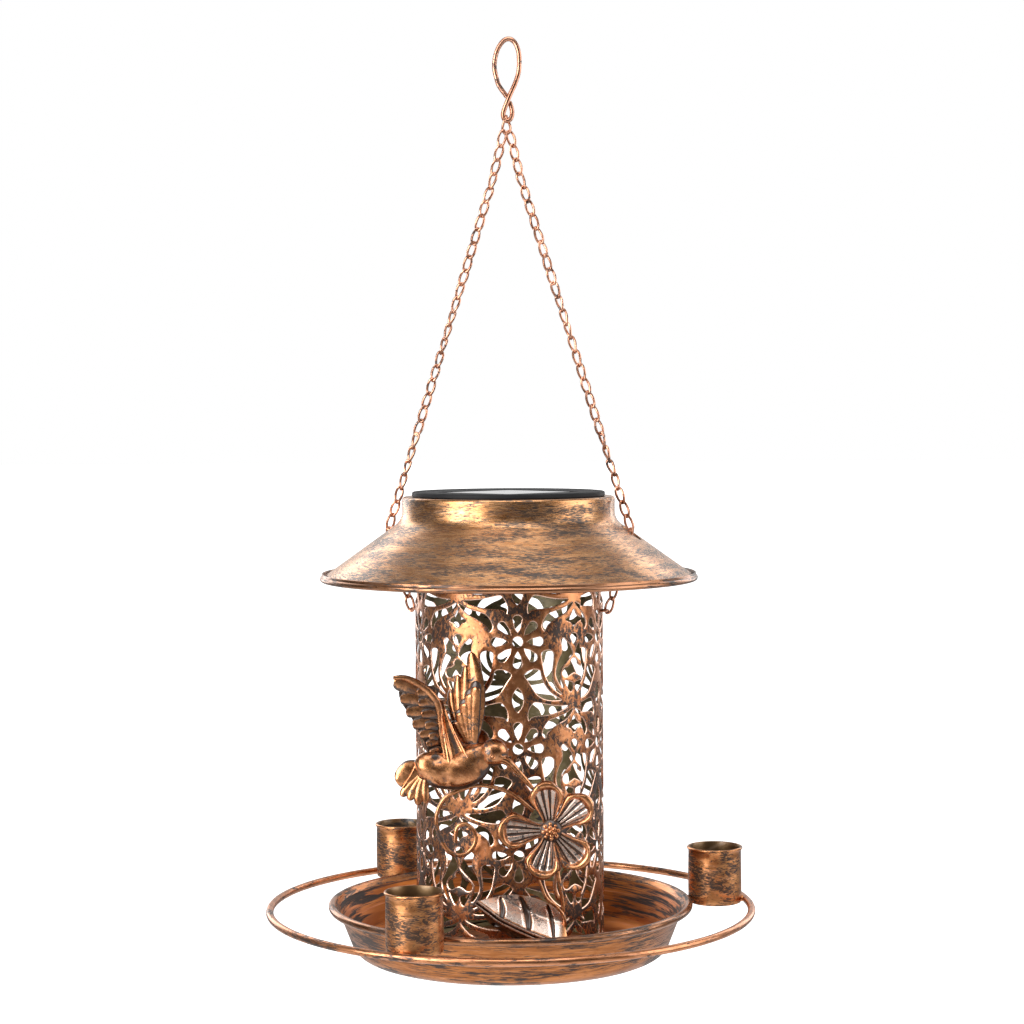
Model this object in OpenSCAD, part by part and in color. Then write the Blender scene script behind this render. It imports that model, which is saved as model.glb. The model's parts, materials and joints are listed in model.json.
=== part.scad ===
// Hanging solar lantern bird feeder: a pierced lantern cylinder in a round seed tray, a perch ring
// with three cups, a lid that slides up its two chain legs, and a solar lamp unit in the lid.
// Origin: inside top of the hook's big loop, where a nail or bracket carries the feeder.
// +Z up, the bird and the flower face -Y. All heights are measured up from the perch ring's centre
// plane, which lies hang_drop below the origin, and each module is lowered by that much.

/* [Hanging] */
// Drop from the hang point to the perch ring's centre plane
hang_drop = 458.4; // [450:0.1:470]
// Direction of the right chain leg, seen from above, from +X
chain_turn = -12; // [-30:1:30]
// Wire thickness of the hook
hook_wire = 2.3; // [1.8:0.1:2.6]
// Half width of the hook's big loop, to the wire's centre
hook_half_w = 6.3; // [5:0.1:8]
// Wire thickness of the link that joins hook and chain
top_wire = 1.3; // [1:0.1:1.5]

/* [Chain] */
// Distance from one chain link to the next
link_pitch = 7.55; // [7:0.05:8]
// Outer width of a chain link
link_w = 4.8; // [4.4:0.1:5.4]
// Wire thickness of a chain link
link_wire = 1.1; // [0.8:0.1:1.2]
// Links of each leg that always stay above the lid
upper_links = 22; // [20:1:24]
// Links of each leg that pass through the lid as it rises
sliding_links = 7; // [5:1:8]
// Links of each leg that always stay below the lid
lower_links = 6; // [4:2:8]

/* [Lid] */
// Radius of the rolled brim's centre line
brim_r = 98.7; // [94:0.1:102]
// Height of the brim's centre line
brim_z = 176.3; // [170:0.1:180]
// Thickness of the brim's roll
brim_d = 2.9; // [2:0.1:4]
// Slope of the cone, from the horizontal
cone_angle = 35.6; // [30:0.2:40]
// Outer radius of the neck
neck_r = 56.3; // [55.8:0.1:57]
// Height of the neck's top
neck_top_z = 219.3; // [217:0.1:222]
// Distance of the chain holes from the axis
hole_r = 65.5; // [64:0.1:67]
// Diameter of the chain holes
hole_d = 10; // [9:0.1:11]

/* [Lantern cylinder] */
// Outer diameter of the pierced cylinder
lantern_d = 100; // [98:0.5:101]
// Height of the cylinder's top edge
lantern_top_z = 199.8; // [195:0.1:199.8]
// Times that the pattern repeats round the cylinder
pattern_columns = 5; // [3:1:6]
// Times that the pattern repeats up the cylinder
pattern_rows = 3; // [2:1:3]

/* [Tray and perch] */
// Radius of the tray rim's centre line
rim_r = 94.8; // [92:0.1:96]
// Height of the tray rim's centre line
rim_z = 2; // [0:0.1:4]
// Thickness of the rolled rim
rim_d = 4; // [3:0.1:5]
// Depth of the tray's base below the perch ring's centre plane
base_drop = 24; // [20:0.5:28]
// Radius of the perch ring's centre line
perch_r = 128; // [126:0.1:132]
// Wire thickness of the perch ring
perch_d = 4; // [3:0.1:6]

/* [Cups] */
// Outer radius of a cup's wall
cup_r = 14.4; // [14:0.1:15]
// Height of a cup
cup_h = 30.3; // [20:0.1:36]
// Directions of the three cups, seen from above, from +X
cup_turns = [8, 124, 245];

/* [Solar lamp] */
// Radius of the black bezel
bezel_r = 51.1; // [50.5:0.1:52]
// Side of the square solar cell
cell_w = 50; // [40:1:54]
// Diameter of the battery
battery_d = 14.2; // [10:0.1:14.4]
// Length of the battery
battery_l = 50; // [44:0.1:50.5]
// Travel of the slide switch
switch_travel = 4; // [2:0.5:4]

/* [Sheet metal] */
// Thickness of all the sheet parts
sheet = 0.8; // [0.6:0.1:1]

/* [Hidden] */
$fn = 64;

copper = [0.66, 0.36, 0.18];
bright_copper = [0.78, 0.45, 0.28];
black = [0.07, 0.07, 0.08];
steel = [0.7, 0.7, 0.72];

// hook: the wire crosses itself at cross_z, with the big loop above and the small loop below
hook_top_z = hang_drop + hook_wire / 2;
cross_z = 428.8;
small_loop_z = 417.4;
small_half_w = 2.3;
strand_gap = 0.3;

// chain: both legs hang from the bottom wire of the top link
play = 0.3;
link_l = link_pitch + play + 2 * link_wire;
top_link_w = 6.6;
top_link_top_z = small_loop_z + hook_wire / 2 + top_wire / 2 + play;
apex_z = 409.9;
leg_offset = 0.7;
first_drop = link_l / 2 - link_wire - top_wire / 2 - play;
upper_l = first_drop + (upper_links - 0.5) * link_pitch;
slide_l = sliding_links * link_pitch;
lower_l = first_drop + (lower_links - 0.5) * link_pitch;
leg_tilt = asin(hole_r / (upper_l + slide_l));
hole_z = apex_z - (upper_l + slide_l) * cos(leg_tilt);
eye_r = 53.2;
lower_tilt = asin((hole_r - eye_r) / lower_l);
eye_z = hole_z - lower_l * cos(lower_tilt);

// lid: the cone's outer line runs up from the brim to a hollow fillet at the neck
cone_r = brim_r - 0.4;
cone_z = brim_z + 0.6;
fillet_r = 9;
fillet_cr = neck_r + fillet_r;
fillet_cz = cone_z + (fillet_r + (cone_r - fillet_cr) * sin(cone_angle)) / cos(cone_angle);
lip_r = 1.5;
flange_r = 49.6;

// lantern cylinder and its seat
lantern_r = lantern_d / 2;
seat_z = lantern_top_z + 0.2;
seat_inner_r = 40;
seat_outer_r = neck_r - sheet - 0.1;
locating_r = 48.3;
boss_z = 4 - base_drop;
boss_r = 56;
foot_r = lantern_r - sheet - 9;
foot_hole_d = 3.4;
lantern_foot_z = boss_z + sheet;

// tray: a sloping wall runs down to a round bend and a flat floor
tray_bend_r = 10;
wall_angle = 68.9;
wall_r = rim_r - 3;
bend_cz = tray_bend_r - base_drop;
bend_cr = wall_r - (tray_bend_r + (rim_z - 1 - bend_cz) * cos(wall_angle)) / sin(wall_angle);
floor_z = sheet - base_drop;

// solar lamp unit
bezel_h = 2.6;
housing_r = 48.8;
housing_wall = 1.6;
housing_z = seat_z + sheet;
floor_t = 2;
box_x = 29;
box_y0 = 2;
box_y1 = 21;
box_z = housing_z - 16;
box_wall = 1.5;
battery_y = (box_y0 + box_y1) / 2;
battery_z = housing_z - 0.6 - battery_d / 2;
door_t = 1.5;
door_pin_y = 23.2;
door_pin_z = box_z - 1;
lug_x = 24;
lug_w = 3;
lug_r = 1.9;
led_y = -15;
switch_y = -31;
knob_w = 4.6;
screw_r = 44;
screw_d = 2.7;
standoff_x = 16;
standoff_y = 12;
panel_wire_x = 6;
lead_x = 1.3;
door_gap = 0.2;
board_z = housing_z + floor_t + 3;

// decoration: everything stands in one upright plane just clear of the cylinder's front
plane_y = -53.6;

// ---- helpers ----

// Lowers its children from heights above the perch ring to the part's own frame
module placed() { translate([0, 0, -hang_drop]) children(); }

// Turns its children into the plane of the chain legs
module in_chain_plane() { rotate([0, 0, chain_turn]) children(); }

// Points on an arc in the plane, from angle a0 to a1 in n steps
function arc(cx, cy, r, a0, a1, n) =
    [for (i = [0:n]) let (a = a0 + (a1 - a0) * i / n) [cx + r * cos(a), cy + r * sin(a)]];

// Smooth curve through hand-chosen points, with n steps between neighbours
function smooth(p, n) = concat(
    [for (i = [0:len(p) - 2], k = [0:n - 1])
        let (a = p[max(i - 1, 0)], b = p[i], c = p[i + 1], d = p[min(i + 2, len(p) - 1)], t = k / n)
        0.5 * (2 * b + (c - a) * t + (2 * a - 5 * b + 4 * c - d) * t * t
            + (3 * b - a - 3 * c + d) * t * t * t)],
    [p[len(p) - 1]]);

function unit(v) = v / norm(v);

// Round wire along points that lie in a nearly upright plane facing Y
module wire(p, d, sides = 8) {
    n = len(p);
    rings = [for (i = [0:n - 1])
        let (t = unit(p[min(i + 1, n - 1)] - p[max(i - 1, 0)]),
            u = unit(cross(t, [0, 1, 0])),
            v = cross(t, u))
        for (k = [0:sides - 1])
            p[i] + d / 2 * (u * cos(360 * k / sides) + v * sin(360 * k / sides))];
    walls = [for (i = [0:n - 2], k = [0:sides - 1])
        let (m = (k + 1) % sides)
        [i * sides + k, (i + 1) * sides + k, (i + 1) * sides + m, i * sides + m]];
    start = [for (k = [0:sides - 1]) k];
    end = [for (k = [0:sides - 1]) (n - 1) * sides + sides - 1 - k];
    polyhedron(rings, concat(walls, [start], [end]), convexity = 6);
}

// Closed oval link in the XZ plane, long way up, centred on the origin
module oval_link(length, width, thick) {
    r = (width - thick) / 2;
    half = (length - width) / 2;
    for (s = [0, 180])
        rotate([0, s, 0])
            translate([0, 0, half])
                rotate([90, 0, 0])
                    rotate_extrude(angle = 180, $fn = 24)
                        translate([r, 0]) circle(d = thick, $fn = 16);
    for (x = [-r, r])
        translate([x, 0, -half]) cylinder(d = thick, h = 2 * half, $fn = 16);
}

// Row of links downwards, the first one's centre at -start, each turned a quarter from the last
module link_row(count, start, quarter) {
    for (i = [0:count - 1])
        translate([0, 0, -start - i * link_pitch])
            rotate([0, 0, 90 * ((i + quarter) % 2)])
                oval_link(link_l, link_w, link_wire);
}

// One stretch of a leg: side is 1 for the right leg and -1 for the left one. The stretch hangs
// from [r, z] and leans by tilt
module leg_stretch(side, r, z, tilt, count, start, quarter) {
    color(bright_copper)
        placed() in_chain_plane()
            translate([side * r, side * leg_offset, z])
                rotate([0, -side * tilt, 0])
                    link_row(count, start, quarter);
}

// Upright flat shape in the decoration plane: outline in X and Z, thickness towards the front
module plate(outline, thick, front = plane_y) {
    translate([0, front + thick, 0])
        rotate([90, 0, 0])
            linear_extrude(thick) polygon(outline);
}

// ---- hanging parts ----

// Point of one of the hook's loops, pointed at the crossing. 0.86 is the most that the product
// of the sines comes to
function loop_point(a, top, half_w, y0, y1, part) = [
    -half_w / 0.86 * sin(a) * sqrt(abs(sin(a / 2))),
    y0 + (y1 - y0) * part,
    cross_z + (top - cross_z) * (1 - cos(a)) / 2];

module hook() {
    back = (hook_wire + strand_gap) / 2;
    big = [for (i = [0:24]) let (a = 22 + i * 14)
        loop_point(a, hook_top_z, hook_half_w, back, -back, i / 24)];
    small = [for (i = [1:16]) let (a = -2 + i * 20)
        loop_point(-a, small_loop_z, -small_half_w, -back, back, i / 16)];
    color(bright_copper) placed() wire(concat(big, small), hook_wire, 12);
}

module top_link() {
    color(bright_copper)
        placed()
            translate([0, 0, (top_link_top_z + apex_z) / 2])
                rotate([0, 0, 90])
                    oval_link(top_link_top_z - apex_z + top_wire, top_link_w, top_wire);
}

module chain_upper(side) {
    leg_stretch(side, 0, apex_z, leg_tilt, upper_links, first_drop, 0);
}

module chain_slide(side) {
    r = upper_l * sin(leg_tilt);
    leg_stretch(side, r, apex_z - upper_l * cos(leg_tilt), leg_tilt, sliding_links,
        link_pitch / 2, upper_links);
}

module chain_lower(side) {
    leg_stretch(side, hole_r, hole_z, -lower_tilt, lower_links, link_pitch / 2,
        upper_links + sliding_links);
}

module chain_right_upper() { chain_upper(1); }
module chain_right_slide() { chain_slide(1); }
module chain_right_lower() { chain_lower(1); }
module chain_left_upper() { chain_upper(-1); }
module chain_left_slide() { chain_slide(-1); }
module chain_left_lower() { chain_lower(-1); }

// U-shaped wire eyes on the cylinder that the last links hook into
module chain_eyes() {
    bend = 2.4;
    color(bright_copper)
        placed() in_chain_plane()
            for (side = [0, 180])
                rotate([0, 0, side])
                    translate([0, leg_offset, eye_z]) {
                        translate([eye_r - bend, 0, 0])
                            rotate([0, 0, -90])
                                rotate_extrude(angle = 180, $fn = 24)
                                    translate([bend, 0]) circle(d = top_wire, $fn = 16);
                        for (y = [-bend, bend])
                            translate([lantern_r - 0.4, y, 0])
                                rotate([0, 90, 0])
                                    cylinder(d = top_wire, h = eye_r - bend - lantern_r + 0.4);
                    }
}

// ---- lid ----

// Outline of the lid's sheet, set in by t from its outer face
function lid_line(t) = concat(
    [[cone_r - t * sin(cone_angle), cone_z - t * cos(cone_angle)]],
    arc(fillet_cr, fillet_cz, fillet_r + t, 270 - cone_angle, 180, 6),
    arc(neck_r - lip_r, neck_top_z - lip_r, lip_r - t, 0, 90, 4),
    [[flange_r, neck_top_z - t]]);

module lid_shell() {
    outer = lid_line(0);
    inner = lid_line(sheet);
    color(copper)
        placed()
            difference() {
                rotate_extrude($fn = 96) {
                    polygon(concat(outer, [for (i = [len(inner) - 1:-1:0]) inner[i]]));
                    translate([brim_r, brim_z]) circle(d = brim_d, $fn = 24);
                }
                in_chain_plane()
                    for (side = [-1, 1])
                        translate([side * hole_r, 0, hole_z - 20]) cylinder(d = hole_d, h = 40);
            }
}

// Pressed ring inside the neck that rests on the cylinder, with a rim that centres the lid
module seat_ring() {
    color(copper)
        placed()
            difference() {
                rotate_extrude($fn = 96)
                    polygon([[seat_inner_r, seat_z], [locating_r - sheet, seat_z],
                        [locating_r - sheet, seat_z - 5], [locating_r, seat_z - 5],
                        [locating_r, seat_z], [seat_outer_r, seat_z],
                        [seat_outer_r, neck_top_z - 4], [seat_outer_r - sheet, neck_top_z - 4],
                        [seat_outer_r - sheet, seat_z + sheet], [seat_inner_r, seat_z + sheet]]);
                at_screws() translate([0, 0, seat_z - 1]) cylinder(d = screw_d + 0.7, h = 3);
            }
}

// Places its children at the three housing screws
module at_screws() {
    for (a = [30, 150, 270])
        rotate([0, 0, a]) translate([screw_r, 0, 0]) children();
}

// ---- solar lamp unit, carried by the lid ----

module solar_bezel() {
    recess = cell_w + 1;
    edge = 0.6;
    color(black)
        placed()
            difference() {
                union() {
                    translate([0, 0, neck_top_z + 0.1]) cylinder(r = bezel_r, h = bezel_h - edge);
                    translate([0, 0, neck_top_z + bezel_h - 0.5])
                        cylinder(r1 = bezel_r, r2 = bezel_r - edge, h = edge);
                }
                rotate([0, 0, 45])
                    translate([-recess / 2, -recess / 2, neck_top_z + 1])
                        cube([recess, recess, bezel_h]);
                for (x = [-panel_wire_x, panel_wire_x])
                    translate([x, 0, neck_top_z - 1]) cylinder(d = 2.4, h = 4);
            }
}

module cell_plate(thick, z) {
    rotate([0, 0, 45])
        translate([-cell_w / 2, -cell_w / 2, neck_top_z + z]) cube([cell_w, cell_w, thick]);
}

module solar_cell() { color([0.08, 0.09, 0.16]) placed() cell_plate(0.4, 1); }

module cell_cover() { color([0.8, 0.85, 0.9, 0.4]) placed() cell_plate(0.8, 1.4); }

// Cup-shaped housing with the battery box under its floor
module lamp_housing() {
    top = neck_top_z + 0.1;
    floor_top = housing_z + floor_t;
    color(black)
        placed()
            difference() {
                union() {
                    difference() {
                        translate([0, 0, housing_z]) cylinder(r = housing_r, h = top - housing_z);
                        translate([0, 0, floor_top])
                            cylinder(r = housing_r - housing_wall, h = top - housing_z);
                    }
                    at_screws() translate([0, 0, floor_top]) cylinder(d = 6, h = 6);
                    for (x = [-standoff_x, standoff_x], y = [-standoff_y, standoff_y])
                        translate([x, y, floor_top]) cylinder(d = 4, h = board_z - floor_top);
                    translate([-box_x, box_y0, box_z])
                        cube([2 * box_x, box_y1 - box_y0, housing_z - box_z]);
                    for (x = [-lug_x, lug_x])
                        translate([x - lug_w / 2, 0, 0]) {
                            translate([0, box_y1 - 1, box_z])
                                cube([lug_w, 1 + door_pin_y + lug_r - box_y1, housing_z - box_z]);
                            translate([0, door_pin_y - lug_r, door_pin_z])
                                cube([lug_w, 2 * lug_r, housing_z - door_pin_z]);
                            translate([0, door_pin_y, door_pin_z])
                                rotate([0, 90, 0]) cylinder(r = lug_r, h = lug_w);
                        }
                }
                translate([box_wall - box_x, box_y0 + box_wall, box_z - 1])
                    cube([2 * (box_x - box_wall), box_y1 - box_y0 - 2 * box_wall,
                        housing_z - box_z + 1]);
                for (x = [-lug_x, lug_x])
                    translate([x - 4, door_pin_y, door_pin_z])
                        rotate([0, 90, 0]) cylinder(d = 2.2, h = 8);
                at_screws() translate([0, 0, housing_z - 1]) cylinder(d = screw_d + 0.1, h = 7);
                translate([0, led_y, housing_z - 1]) cylinder(d = 5.4, h = 4);
                translate([-knob_w / 2 - 0.2, switch_y - 1.7, housing_z - 1])
                    cube([knob_w + switch_travel + 0.4, 3.4, 4]);
            }
}

module housing_screws() {
    color(steel)
        placed()
            at_screws() {
                translate([0, 0, seat_z - 1.8]) cylinder(d = 5.2, h = 1.8);
                translate([0, 0, seat_z]) cylinder(d = screw_d, h = 6);
            }
}

module circuit_board() {
    color("darkgreen")
        placed()
            difference() {
                translate([-20, -22, board_z]) cube([40, 38, 1.6]);
                translate([0, led_y, board_z - 1]) for (x = [-lead_x, lead_x])
                    translate([x, 0, 0]) cylinder(d = 0.9, h = 4);
            }
}

module panel_wires() {
    color("firebrick")
        placed()
            for (x = [-panel_wire_x, panel_wire_x])
                translate([x, 0, board_z + 1.6]) cylinder(d = 1.4, h = neck_top_z - board_z - 0.6);
}

module battery() {
    color("gold")
        placed()
            translate([-battery_l / 2, battery_y, battery_z])
                rotate([0, 90, 0]) {
                    cylinder(d = battery_d, h = battery_l - 1.2);
                    cylinder(d = 5.4, h = battery_l);
                }
}

module battery_contacts() {
    gap = 0.6;
    color(steel)
        placed()
            for (s = [-1, 1])
                translate([s * (battery_l / 2 + gap) - 0.25, battery_y - 5, battery_z - 5])
                    cube([0.5, 10, 10]);
}

// Door under the battery box, hinged on its back edge
module battery_door() {
    color(black)
        placed()
            union() {
                translate([-box_x, box_y0, box_z - door_gap - door_t])
                    cube([2 * box_x, box_y1 - box_y0, door_t]);
                for (x = [-lug_x, lug_x])
                    translate([x, 0, 0]) {
                        for (s = [-1, 1])
                            translate([s * 2.9 - 1, box_y1 - 1, box_z - door_gap - door_t])
                                cube([2, 3.6, door_t]);
                        translate([-3.9, door_pin_y, door_pin_z])
                            rotate([0, 90, 0]) cylinder(d = 2, h = 7.8);
                    }
            }
}

module switch_body() {
    color(steel)
        placed()
            translate([-7 + switch_travel / 2, switch_y - 4, housing_z + floor_t + 1.4])
                cube([14, 8, 5]);
}

module switch_knob() {
    color("white")
        placed() {
            translate([-knob_w / 2, switch_y - 1.4, housing_z - 2.6])
                cube([knob_w, 2.8, floor_t + 2.8]);
            translate([-knob_w / 2, switch_y - 2.6, housing_z + floor_t + 0.2])
                cube([knob_w, 5.2, 0.9]);
        }
}

module led() {
    tip = housing_z - 4;
    color("ivory")
        placed()
            translate([0, led_y, 0]) {
                translate([0, 0, tip]) sphere(d = 5);
                translate([0, 0, tip]) cylinder(d = 5, h = 7);
                for (x = [-lead_x, lead_x])
                    translate([x, 0, tip + 7]) cylinder(d = 0.6, h = board_z - tip - 6);
            }
}

module led_lens() {
    color([0.95, 0.95, 0.9, 0.5])
        placed()
            translate([0, led_y, housing_z])
                rotate([180, 0, 0])
                    rotate_extrude()
                        polygon(concat([[8, 0], [9, 0]], arc(0, 4, 9, 0, 90, 8),
                            arc(0, 4, 8, 90, 0, 8)));
}

// ---- lantern ----

// Pointed oval, long way up, of two arcs
function almond(l, w) = let (r = (l * l + w * w) / (4 * w), a = asin(l / 2 / r)) concat(
    arc(w / 2 - r, 0, r, -a, a, 4), arc(r - w / 2, 0, r, 180 - a, 180 + a, 4));

// Drop-shaped hole with its point at the origin and its round end upwards
function drop(l, w) = concat([[0, 0]], arc(0, l - w / 2, w / 2, -10, 190, 4));

// Cuts one flat shape straight through the wall at an angle and a height
module pierce(a, z) {
    rotate([0, 0, a])
        translate([lantern_r - 4, 0, z])
            rotate([90, 0, 90])
                linear_extrude(8) children();
}

// One cell of the pattern: a rosette of eight drops, an almond and two pairs of leaf slots
module pierced_cell(a, z) {
    degree = 360 / (PI * lantern_d);
    pierce(a, z) circle(r = 2.7, $fn = 8);
    for (k = [0:7])
        pierce(a, z) rotate(45 * k) translate([0, 4.8]) polygon(drop(7.6, 4.6));
    pierce(a, z - 29) polygon(almond(12.5, 6));
    for (s = [-1, 1]) {
        pierce(a + s * 13 * degree, z - 19) rotate(s * 55) polygon(almond(15, 5));
        pierce(a + s * 12 * degree, z - 39) rotate(s * -40) polygon(almond(13, 7));
        pierce(a + s * 23 * degree, z - 2) rotate(s * 12) polygon(almond(20, 6.5));
        pierce(a + s * 25 * degree, z - 27) rotate(s * 60) polygon(almond(11, 4.5));
    }
}

module lantern_cylinder() {
    cell_h = (lantern_top_z - lantern_foot_z) / (pattern_rows + 0.9);
    color(copper)
        placed()
            difference() {
                translate([0, 0, lantern_foot_z])
                    cylinder(r = lantern_r, h = lantern_top_z - lantern_foot_z, $fn = 96);
                translate([0, 0, lantern_foot_z - 1])
                    cylinder(r = lantern_r - sheet, h = lantern_top_z - lantern_foot_z + 2,
                        $fn = 96);
                for (c = [0:pattern_columns - 1], row = [0:pattern_rows - 1])
                    pierced_cell(-85 + 360 / pattern_columns * c,
                        lantern_top_z - 30 - row * cell_h);
            }
}

// Places its children at the three feet inside the cylinder
module at_feet() {
    for (a = [90, 210, 330])
        rotate([0, 0, a]) children();
}

module foot_tabs() {
    reach = 13;
    color(copper)
        placed()
            at_feet()
                difference() {
                    translate([lantern_r - sheet - 0.9 - reach, -5, lantern_foot_z])
                        cube([reach, 10, sheet]);
                    translate([foot_r, 0, lantern_foot_z - 1])
                        cylinder(d = foot_hole_d, h = 3);
                }
    color(copper)
        placed()
            at_feet()
                translate([lantern_r - sheet - 0.9 - sheet, -5, lantern_foot_z + sheet])
                    cube([sheet, 10, 10]);
}

module foot_screws() {
    color(steel)
        placed()
            at_feet()
                translate([foot_r, 0, 0]) {
                    translate([0, 0, boss_z - 3]) cylinder(d = 2.9, h = 3 + 2 * sheet);
                    translate([0, 0, lantern_foot_z + sheet]) cylinder(d = 6, h = 1.8);
                }
}

module foot_nuts() {
    color(steel)
        placed()
            at_feet()
                translate([foot_r, 0, boss_z - 2.4])
                    difference() {
                        cylinder(d = 6.4, h = 2.4, $fn = 6);
                        translate([0, 0, -1]) cylinder(d = 3, h = 5, $fn = 24);
                    }
}

// ---- tray, perch ring and cups ----

// Outline of the tray's sheet, set in by t from its outer face
function tray_line(t) = concat(
    [[boss_r - sheet, t - base_drop]],
    arc(bend_cr, bend_cz, tray_bend_r - t, -90, wall_angle - 90, 6),
    [[wall_r - t * sin(wall_angle), rim_z - 1 + t * cos(wall_angle)],
        [rim_r - 0.5, rim_z + t - sheet / 2]]);

module tray() {
    outer = tray_line(0);
    inner = tray_line(sheet);
    color(copper)
        placed()
            difference() {
                union() {
                    rotate_extrude($fn = 96) {
                        polygon(concat(outer, [for (i = [len(inner) - 1:-1:0]) inner[i]]));
                        translate([rim_r, rim_z]) circle(d = rim_d, $fn = 24);
                    }
                    translate([0, 0, -base_drop])
                        cylinder(r = boss_r, h = boss_z + sheet + base_drop, $fn = 96);
                }
                translate([0, 0, -base_drop - 1])
                    cylinder(r = boss_r - sheet, h = boss_z + base_drop + 1, $fn = 96);
                at_feet()
                    translate([foot_r, 0, boss_z - 1]) cylinder(d = foot_hole_d, h = 4);
            }
}

module perch_ring() {
    color(copper)
        placed()
            rotate_extrude($fn = 128)
                translate([perch_r, 0]) circle(d = perch_d, $fn = 24);
}

// One cup, welded between the tray's rim and the perch ring
module cup(turn) {
    foot_z = -1;
    centre_r = (rim_r + rim_d / 2 + perch_r - perch_d / 2) / 2;
    wall = 0.9;
    color(copper)
        placed()
            rotate([0, 0, turn])
                translate([centre_r, 0, foot_z])
                    difference() {
                        union() {
                            cylinder(r = cup_r, h = cup_h - 0.5);
                            translate([0, 0, cup_h - 0.6])
                                rotate_extrude()
                                    translate([cup_r - 0.3, 0]) circle(r = 0.6, $fn = 16);
                        }
                        translate([0, 0, wall]) cylinder(r = cup_r - wall, h = cup_h + 1);
                    }
}

module cup_1() { cup(cup_turns[0]); }
module cup_2() { cup(cup_turns[1]); }
module cup_3() { cup(cup_turns[2]); }

// ---- bird, flower, vine and leaf ----

module bird_body() {
    $fn = 28;
    back = [[-44.5, 84.5], [-33, 86], [-20.5, 89.5]];
    belly = [[-44.5, 79.6], [-31, 78.6], [-19.5, 80.6]];
    color(copper)
        placed()
            translate([0, plane_y - 3.6, 0]) {
                hull()
                    for (p = concat(back, belly))
                        translate([p[0], 0, p[1]]) sphere(r = 5);
                hull() {
                    translate([-19, 0, 86.5]) sphere(r = 5.4);
                    translate([-10.6, 0, 91.6]) sphere(r = 6.9);
                }
            }
}

module bird_beak() {
    color(copper)
        placed()
            translate([-6.2, plane_y - 5, 87])
                rotate([0, 128.5, 0]) cylinder(d1 = 4, d2 = 0.8, h = 25);
}

module bird_wing_left() {
    color(copper)
        placed()
            plate([[-58, 130], [-45, 127], [-37, 117], [-30, 90], [-33, 87], [-40, 91], [-46, 102],
                [-51, 108], [-54, 114], [-56, 123]], 1.4, plane_y - 0.2);
}

module bird_wing_right() {
    color(copper)
        placed()
            plate([[-19.5, 142], [-15, 134], [-13, 122], [-15, 108], [-19, 96], [-26, 89.5],
                [-29.5, 92], [-31, 104], [-31, 121], [-27, 130], [-22.5, 135]], 1.4, plane_y - 0.2);
}

module bird_tail() {
    color(copper)
        placed()
            plate(concat([[-45, 84]], arc(-51, 79.2, 7, 80, 200, 6), arc(-46.5, 76, 12, 220, 290, 5),
                [[-43, 77]]), 1.4, plane_y - 0.4);
}

// Outline of a flower with five round petals
function petals(r, n) = [for (i = [0:n - 1]) let (a = 360 * i / n)
    r * (0.66 + 0.34 * pow(abs(cos(2.5 * (a - 98))), 0.7)) * [cos(a), sin(a)]];

module flower_petals() {
    color(copper)
        placed()
            translate([20.7, 0, 51.2])
                plate(petals(26.5, 70), 3, plane_y - 5);
}

module flower_centre() {
    color(copper)
        placed()
            translate([20.7, plane_y - 5, 51.2])
                rotate([90, 0, 0]) {
                    cylinder(d1 = 10.5, d2 = 9, h = 2.6);
                    translate([0, 0, 2.6]) cylinder(d1 = 9, d2 = 5, h = 1.4);
                }
}

module flower_stem() {
    path = smooth([[21, plane_y, 50], [24, plane_y, 32], [26.5, plane_y, 12],
        [26, plane_y, -4], [25, plane_y, floor_z + 0.2]], 6);
    color(copper) placed() wire(path, 1.8);
}

module leaf_stem() {
    y = plane_y - 1.7;
    path = smooth([[13, y, 29], [16.5, y, 20], [19.5, y, 12], [23, y, 6], [26.5, y, 0],
        [26.5, y, floor_z + 0.2]], 5);
    color(copper) placed() wire(path, 1.4);
}

module vine() {
    path = smooth([for (p = [[12, 60], [4, 67], [-9, 73], [-23, 72], [-34, 66], [-38, 55],
        [-35, 45], [-27, 38], [-20, 40], [-17.5, 47], [-22, 53.5], [-27, 51], [-28, 44]])
        [p[0], plane_y, p[1]]], 5);
    color(copper) placed() wire(path, 1.7);
}

// Leaf that leans back, with its upper edge close to the cylinder
module leaf() {
    lean = 18;
    top_z = 17;
    color(copper)
        placed()
            translate([0, plane_y - 1.4, top_z])
                rotate([-lean, 0, 0])
                    plate([[-17.4, -1.4], [-5, 0], [5, 0.4], [18, -3.8], [26, -11], [28.8, -21],
                        [28.6, -28], [22, -28.5], [15, -27], [2, -23], [-9.5, -15],
                        [-14.2, -7.8]], 1.4, 0);
}

hook();
top_link();
chain_right_upper();
chain_right_slide();
chain_right_lower();
chain_left_upper();
chain_left_slide();
chain_left_lower();
chain_eyes();
lid_shell();
seat_ring();
solar_bezel();
solar_cell();
cell_cover();
lamp_housing();
housing_screws();
circuit_board();
panel_wires();
battery();
battery_contacts();
battery_door();
switch_body();
switch_knob();
led();
led_lens();
lantern_cylinder();
foot_tabs();
foot_screws();
foot_nuts();
tray();
perch_ring();
cup_1();
cup_2();
cup_3();
bird_body();
bird_beak();
bird_wing_left();
bird_wing_right();
bird_tail();
flower_petals();
flower_centre();
flower_stem();
leaf_stem();
vine();
leaf();
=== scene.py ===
"""Looks of the hanging solar lantern bird feeder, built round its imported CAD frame.

Part sizes are in millimetres, with heights measured up from the perch ring's centre plane. The
helpers turn them into the frame's metres.
"""

import json
import math

import bpy
import numpy as np
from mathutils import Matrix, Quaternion, Vector, noise
from mathutils.geometry import delaunay_2d_cdt


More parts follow.
